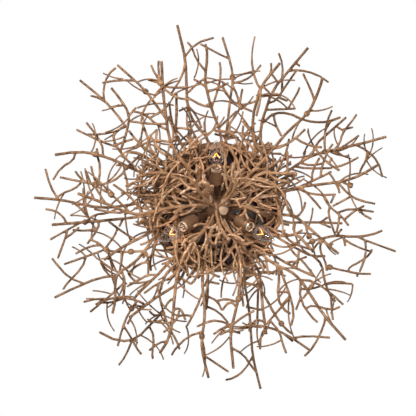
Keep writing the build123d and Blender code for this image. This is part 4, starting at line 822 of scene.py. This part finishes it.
glass_wall = 0.0004
glass_sides = 64
glass_line = [(radius / 1000, reach / 1000) for radius, reach in rounded_line(list(glass_outline))]
glass_line.append((0.0, 0.19))
for number, turn in enumerate(arm_turns, start=1):
    glass = turned_on_lamp(f"lamp_glass_{number}", turn, glass_line, glass_sides)
    wall = glass.modifiers.new("wall", "SOLIDIFY")
    wall.thickness = glass_wall
    wall.offset = -1
    settle(glass)
    glass.data.shade_smooth()
    finish_piece(glass, clear_glass, f"bulb_{number}", f"bulb_glass_{number}", slot="clear_glass")

# %% [markdown]
# ## The filament and its mount
# Inside each bulb a glass stem with a pinched end carries two fine leads, and the wire that glows hangs on
# them in an upside-down V. The glowing wire is a coil that follows a path, so a Geometry Nodes tree winds it:
# it samples the path, and offsets each point sideways by a turning pair of directions.

# %% The coil tree
coil, given = node_tree("coil", Coil_Radius=0.00042, Wire_Radius=0.00014, Turns=40.0, Points=400)
path = put(coil, "GeometryNodeMeshToCurve", {"Mesh": given["Geometry"]})
points = put(coil, "GeometryNodeResampleCurve", {"Curve": path.outputs[0], "Count": given["Points"]})
share = put(coil, "GeometryNodeSplineParameter").outputs["Factor"]
side_way = kept_vector(coil, "side")
up_way = vector_node(coil, "CROSS_PRODUCT", put(coil, "GeometryNodeInputTangent").outputs[0], side_way)
coil_angle = times(coil, times(coil, share, given["Turns"]), 2 * math.pi)
sideways, upwards = (
    vector_node(coil, "SCALE", way, times(coil, math_node(coil, operation, coil_angle), given["Coil Radius"]))
    for operation, way in (("COSINE", side_way), ("SINE", up_way)))
wound = put(coil, "GeometryNodeSetPosition", {"Geometry": points.outputs[0],
                                              "Offset": vector_node(coil, "ADD", sideways, upwards)})
wire = put(coil, "GeometryNodeCurveToMesh", {"Curve": wound.outputs[0], "Fill Caps": True,
                                             "Profile Curve": circle(coil, given["Wire Radius"], 5)})
end_tree(coil, given, wire.outputs[0])

# %% Filaments and mounts
filament_foot_reach = 0.14235
filament_peak_reach = 0.15535
filament_half_width = 0.007
lead_radius = 0.0003
lead_foot = (0.1262, 0.001)
lead_bend = (0.1302, 0.0016)
mount_line = [(0.0001, 0.1124), (0.0045, 0.1124), (0.0032, 0.1160), (0.0020, 0.1205), (0.0019, 0.1262),
              (0.0014, 0.1282), (0.0001, 0.1285)]


def beside_lamp(turn, reach, aside):
    return on_hub(turn, arm_tilt, reach) + lamp_frame(turn)[1] * aside


def rod_into(work, start, end, radius, sides=8):
    spin = (end - start).to_track_quat("Z", "Y").to_matrix().to_4x4()
    place = Matrix.Translation((start + end) / 2) @ spin
    bmesh.ops.create_cone(work, cap_ends=True, segments=sides, radius1=radius, radius2=radius,
                          depth=(end - start).length, matrix=place)


for number, turn in enumerate(arm_turns, start=1):
    along, level = lamp_frame(turn)
    feet = [beside_lamp(turn, filament_foot_reach, side * filament_half_width) for side in (-1, 1)]
    peak = beside_lamp(turn, filament_peak_reach, 0)
    wire = lines_piece(f"filament_coil_{number}", [[feet[0], peak, feet[1]]])
    keep_vectors(wire, "side", [along.cross(level)] * 3)
    grow(wire, coil, material=filament_glow)
    finish_piece(wire, filament_glow, f"bulb_{number}", f"filament_{number}", slot="filament_wire")
    stem = turned_on_lamp(f"lamp_stem_{number}", turn, mount_line, 20)
    finish_piece(stem, clear_glass, f"bulb_{number}", slot="clear_glass")
    leads = bmesh.new()
    for side, foot in zip((-1, 1), feet):
        low = beside_lamp(turn, lead_foot[0], side * lead_foot[1])
        bend = beside_lamp(turn, lead_bend[0], side * lead_bend[1])
        rod_into(leads, low, bend, lead_radius)
        rod_into(leads, bend, foot, lead_radius)
    lead_wires = new_piece(f"lamp_leads_{number}", mesh_of(leads, "lamp leads"))
    finish_piece(lead_wires, contact_lead, f"bulb_{number}", slot="filament_wire")

# %% [markdown]
# ## Softened edges
# No pressed, turned or cast piece has a knife edge, and a thin bright line along an edge is what tells the
# eye that it is metal. Each rigid node whose form is right is copied, its flat faces are joined again, and
# Bevel rounds its sharp edges a little. The copy then stands for the node.

# %% Softened copies
softened = {
    "canopy_pan": (0.0006, canopy_bronze, "bronze"), "ceiling_strap": (0.0004, zinc_steel, "zinc_steel"),
    "ground_screw": (0.0003, green_steel, "green_steel"), "hub_collar": (0.0004, hub_bronze, "bronze"),
    "hub_upper": (0.0005, hub_bronze, "bronze"), "hub_lower": (0.0005, hub_bronze, "bronze"),
    "socket_arms": (0.0003, hub_bronze, "bronze"), "pipe_nuts": (0.0004, zinc_steel, "zinc_steel"),
    "socket_cup_1": (0.0004, cup_bronze, "bronze"), "socket_cup_2": (0.0004, cup_bronze, "bronze"),
    "socket_cup_3": (0.0004, cup_bronze, "bronze"), "ball_nut_1": (0.0003, nut_bronze, "bronze"),
    "ball_nut_2": (0.0003, nut_bronze, "bronze"), "ball_washer_1": (0.0002, nut_bronze, "bronze"),
    "ball_washer_2": (0.0002, nut_bronze, "bronze"),
}
sharp_angle = math.radians(35)
flat_angle = math.radians(0.6)


def soften(node, width, material, slot):
    piece = copy_of(node, node + "_finished")
    work = bmesh.new()
    work.from_mesh(piece.data)
    bmesh.ops.dissolve_limit(work, angle_limit=flat_angle, verts=work.verts, edges=work.edges)
    work.to_mesh(piece.data)
    work.free()
    bevel = piece.modifiers.new("edges", "BEVEL")
    bevel.width = width
    bevel.segments = 2
    bevel.limit_method = "ANGLE"
    bevel.angle_limit = sharp_angle
    settle(piece)
    smooth_by_angle(piece, 40)
    return finish_piece(piece, material, body_of[node], node, slot=slot)


body_of = {name: body for body, names in frame["record"]["behaviour"]["bodies"].items() for name in names}
for node, (width, material, slot) in softened.items():
    soften(node, width, material, slot)

# %% [markdown]
# ## Screw threads
# The studs, the pipe and the bulb shells carry threads. A thread repeats along a turn, so it is a tree: it
# reads each point's height along an axis and its angle about it, makes a wave of the two, and presses the
# hollows in. The crest stays at the rod's own radius, so nothing grows.

# %% The thread tree
thread, given = node_tree(
    "thread", Origin=Vector(), Along=Vector(), Side=Vector(), Pitch=0.0008, Depth=0.0003, Start=0.0, End=0.03,
    Run_Out=0.0006, Least_Radius=0.001)
place = put(thread, "GeometryNodeInputPosition").outputs[0]
from_origin = vector_node(thread, "SUBTRACT", place, given["Origin"])
height = vector_node(thread, "DOT_PRODUCT", from_origin, given["Along"])
outward = vector_node(thread, "SUBTRACT", from_origin, vector_node(thread, "SCALE", given["Along"], height))
third = vector_node(thread, "CROSS_PRODUCT", given["Along"], given["Side"])
angle = math_node(thread, "ARCTAN2", vector_node(thread, "DOT_PRODUCT", outward, third),
                  vector_node(thread, "DOT_PRODUCT", outward, given["Side"]))
phase = minus(thread, math_node(thread, "DIVIDE", height, given["Pitch"]),
              math_node(thread, "DIVIDE", angle, 2 * math.pi))
wave = math_node(thread, "COSINE", times(thread, phase, 2 * math.pi))
dip = times(thread, minus(thread, wave, 1.0), 0.5)
nearest_end = math_node(thread, "MINIMUM", minus(thread, height, given["Start"]),
                        minus(thread, given["End"], height))
fading = math_node(thread, "DIVIDE", nearest_end, given["Run Out"], clamp=True)
own_radius = math_node(thread, "SQRT", vector_node(thread, "DOT_PRODUCT", outward, outward))
wide_enough = math_node(thread, "GREATER_THAN", own_radius, given["Least Radius"])
inset = times(thread, times(thread, dip, given["Depth"]), times(thread, fading, wide_enough))
cut = put(thread, "GeometryNodeSetPosition", {
    "Geometry": given["Geometry"],
    "Offset": vector_node(thread, "SCALE", vector_node(thread, "NORMALIZE", outward), inset)})
end_tree(thread, given, cut.outputs[0])

# %% Threaded rods
steps_per_turn = 6
least_share = 0.9
stud_turn = -67.8
stud_reach = 0.1
stud_pitch = 0.000794
stud_collar_line = [(0.0, 0.0025), (0.0043, 0.0025), (0.00462, 0.0028), (0.00462, 0.0052), (0.0043, 0.0055),
                    (0.0, 0.0055)]


def threaded_rod(name, origin, along, side, radius, start, end, pitch, depth, bore=0.0, sides=20):
    count = max(1, math.ceil((end - start) / (pitch / steps_per_turn)))
    walls = [(radius, start + (end - start) * k / count) for k in range(count + 1)]
    profile = [(bore, start)] + walls + [(bore, end)]
    if bore:
        profile.append((bore, start))
    rod = turned(name, origin, along, side, profile, sides)
    return grow(rod, thread, origin=origin, along=along, side=side, pitch=pitch, depth=depth, start=start,
                end=end, least_radius=radius * least_share)


down = Vector((0, 0, -1))
stud_way = Vector((math.cos(math.radians(stud_turn)), math.sin(math.radians(stud_turn)), 0))
stud_low = -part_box("canopy_studs")[0][2]
stud_parts = []
for side in (-1, 1):
    foot = stud_way * side * stud_reach
    stud_parts.append(threaded_rod("stud", foot, down, stud_way, radius=0.002085, start=0.0, end=stud_low,
                                   pitch=stud_pitch, depth=0.0004))
    collar = turned("stud collar", foot, down, stud_way, stud_collar_line, 6)
    smooth_by_angle(collar, 20)
    stud_parts.append(collar)
threaded_studs = join_pieces("threaded_studs", stud_parts)
finish_piece(threaded_studs, zinc_steel, body_of["canopy_studs"], "canopy_studs", slot="zinc_steel")

pipe = threaded_rod("threaded_pipe", Vector((0, 0, 0)), down, stud_way, radius=0.0049, start=0.010, end=0.048,
                    pitch=0.00094, depth=0.00045, bore=0.0032, sides=28)
finish_piece(pipe, zinc_steel, body_of["centre_nipple"], "centre_nipple", slot="zinc_steel")

for number, turn in enumerate(arm_turns, start=1):
    shell = threaded_rod(f"threaded_shell_{number}", on_hub(turn, arm_tilt, 0), *lamp_frame(turn),
                         radius=0.00595, start=0.09735, end=0.11235, pitch=0.00254, depth=0.00045,
                         bore=0.0052, sides=40)
    finish_piece(shell, shell_brass, f"bulb_{number}", f"bulb_shell_{number}", slot="brass")

# %% [markdown]
# ## Sockets
# In the photograph a pale gold ring shows inside each cup, then a dark gap, then a copper-brown core. The
# ring is the rim of a thin sleeve, and the core is moulded round a screw liner. Each is a turned ring of its
# own, so that each can have its own finish.

# %% Socket sleeves, cores and liners
def socket_rings(name, profile, material, slot, *replaced):
    whole = join_pieces(name, [turned_on_lamp("ring", turn, profile + profile[:1]) for turn in arm_turns])
    smooth_by_angle(whole, 40)
    return finish_piece(whole, material, body_of["lamp_sockets"], *replaced, slot=slot)


sleeve_line = [(0.0095, 0.0772), (0.0108, 0.0772), (0.0108, 0.1146), (0.0105, 0.115), (0.0098, 0.115),
               (0.0095, 0.1146)]
core_line = [(0.0053, 0.0772), (0.0095, 0.0772), (0.0095, 0.0802), (0.0076, 0.0802), (0.0076, 0.1125),
             (0.0071, 0.113), (0.0067, 0.113), (0.00635, 0.1126), (0.00635, 0.095), (0.0053, 0.095)]
liner_line = [(0.0061, 0.0952), (0.00634, 0.0952), (0.00634, 0.1127), (0.0061, 0.1127)]
socket_rings("socket_sleeves", sleeve_line, sleeve_gold, "socket_black", "lamp_sockets")
socket_rings("socket_cores", core_line, core_copper, "socket_black")
socket_rings("socket_liners", liner_line, core_copper, "brass")

# %% Paint the nodes that keep their own shape
finish_of_slot = {"smoked_mirror": smoked_mirror, "zinc_steel": zinc_steel, "contact_lead": contact_lead}
slot_of_node = {row["node"]: row["material_slot"] for row in frame["record"]["subparts"]}
for node, piece in nodes.items():
    if not piece.hide_render:
        piece.data.materials.clear()
        piece.data.materials.append(finish_of_slot[slot_of_node[node]])
        print("painted", node)

# %% [markdown]
# ## The stage
# The floor is the room's, under the camera. The world is white where the camera looks past the light, and in
# the metal and the glass, and a dim grey for soft fill. A soft lamp stands below the light at the picture's
# top left and a weaker one at its lower right, both far enough aside not to show in the mirror, and each bulb
# gets a small warm light at its filament.

# %% Stage
floor_drop = 2.6
floor_reach = 6.0
floor_seen_strength = 0.55
world_fill_strength = 0.12
corners = [(x * floor_reach, y * floor_reach, -floor_drop) for x, y in ((-1, -1), (1, -1), (1, 1), (-1, 1))]
floor_mesh = bpy.data.meshes.new("floor")
floor_mesh.from_pydata(corners, [], [(0, 1, 2, 3)])
floor = new_piece("floor", floor_mesh)
pale_floor, tree, shader = new_material("pale floor")
floor_cloud = noise(tree, object_place(tree), 3.0)
floor_colour = mix_colour(tree, floor_cloud, (0.78, 0.78, 0.77, 1), (0.82, 0.82, 0.81, 1))
seen = put(tree, "ShaderNodeLightPath").outputs["Is Camera Ray"]
feed(tree, shader, {"Roughness": 0.7, "Base Color": floor_colour, "Emission Color": (1, 1, 1, 1),
                    "Emission Strength": map_range(tree, seen, 0.0, 1.0, 0.0, floor_seen_strength)})
floor_mesh.materials.append(pale_floor)

world = bpy.data.worlds.new("studio")
world.use_nodes = True
scene.world = world
tree = world.node_tree
ray = put(tree, "ShaderNodeLightPath").outputs
seen = plus(tree, ray["Is Camera Ray"], ray["Is Glossy Ray"])
seen = math_node(tree, "ADD", seen, ray["Is Transmission Ray"], clamp=True)
feed(tree, tree.nodes["Background"], {"Color": (1, 1, 1, 1),
                                      "Strength": map_range(tree, seen, 0.0, 1.0, world_fill_strength, 1.0)})

# %% Lights
def new_lamp(name, kind, place, power, **settings):
    light = bpy.data.lights.new(name, kind)
    light.energy = power
    for setting, value in settings.items():
        setattr(light, setting, value)
    lamp = bpy.data.objects.new(name, light)
    lamp.location = place
    lamp.visible_camera = False
    scene.collection.objects.link(lamp)
    return lamp


lit_place = Vector((0, 0, -0.1))
for name, place, size, power, beam in (("key", (-0.65, -0.95, -1.9), 0.45, 3.8, 40),
                                       ("fill", (0.8, 0.5, -2.1), 0.6, 0.55, 24)):
    lamp = new_lamp(name, "AREA", place, power, shape="DISK", size=size, spread=math.radians(beam))
    lamp.rotation_euler = (lit_place - Vector(place)).to_track_quat("-Z", "Y").to_euler()

filament_middle_reach = 0.151
for number, turn in enumerate(arm_turns, start=1):
    lamp = new_lamp(f"filament light {number}", "POINT", on_hub(turn, arm_tilt, filament_middle_reach), 0.05,
                    color=(1.0, 0.42, 0.12), shadow_soft_size=0.004)
    lamp.visible_glossy = False
    lamp.visible_transmission = False
print("stage set")
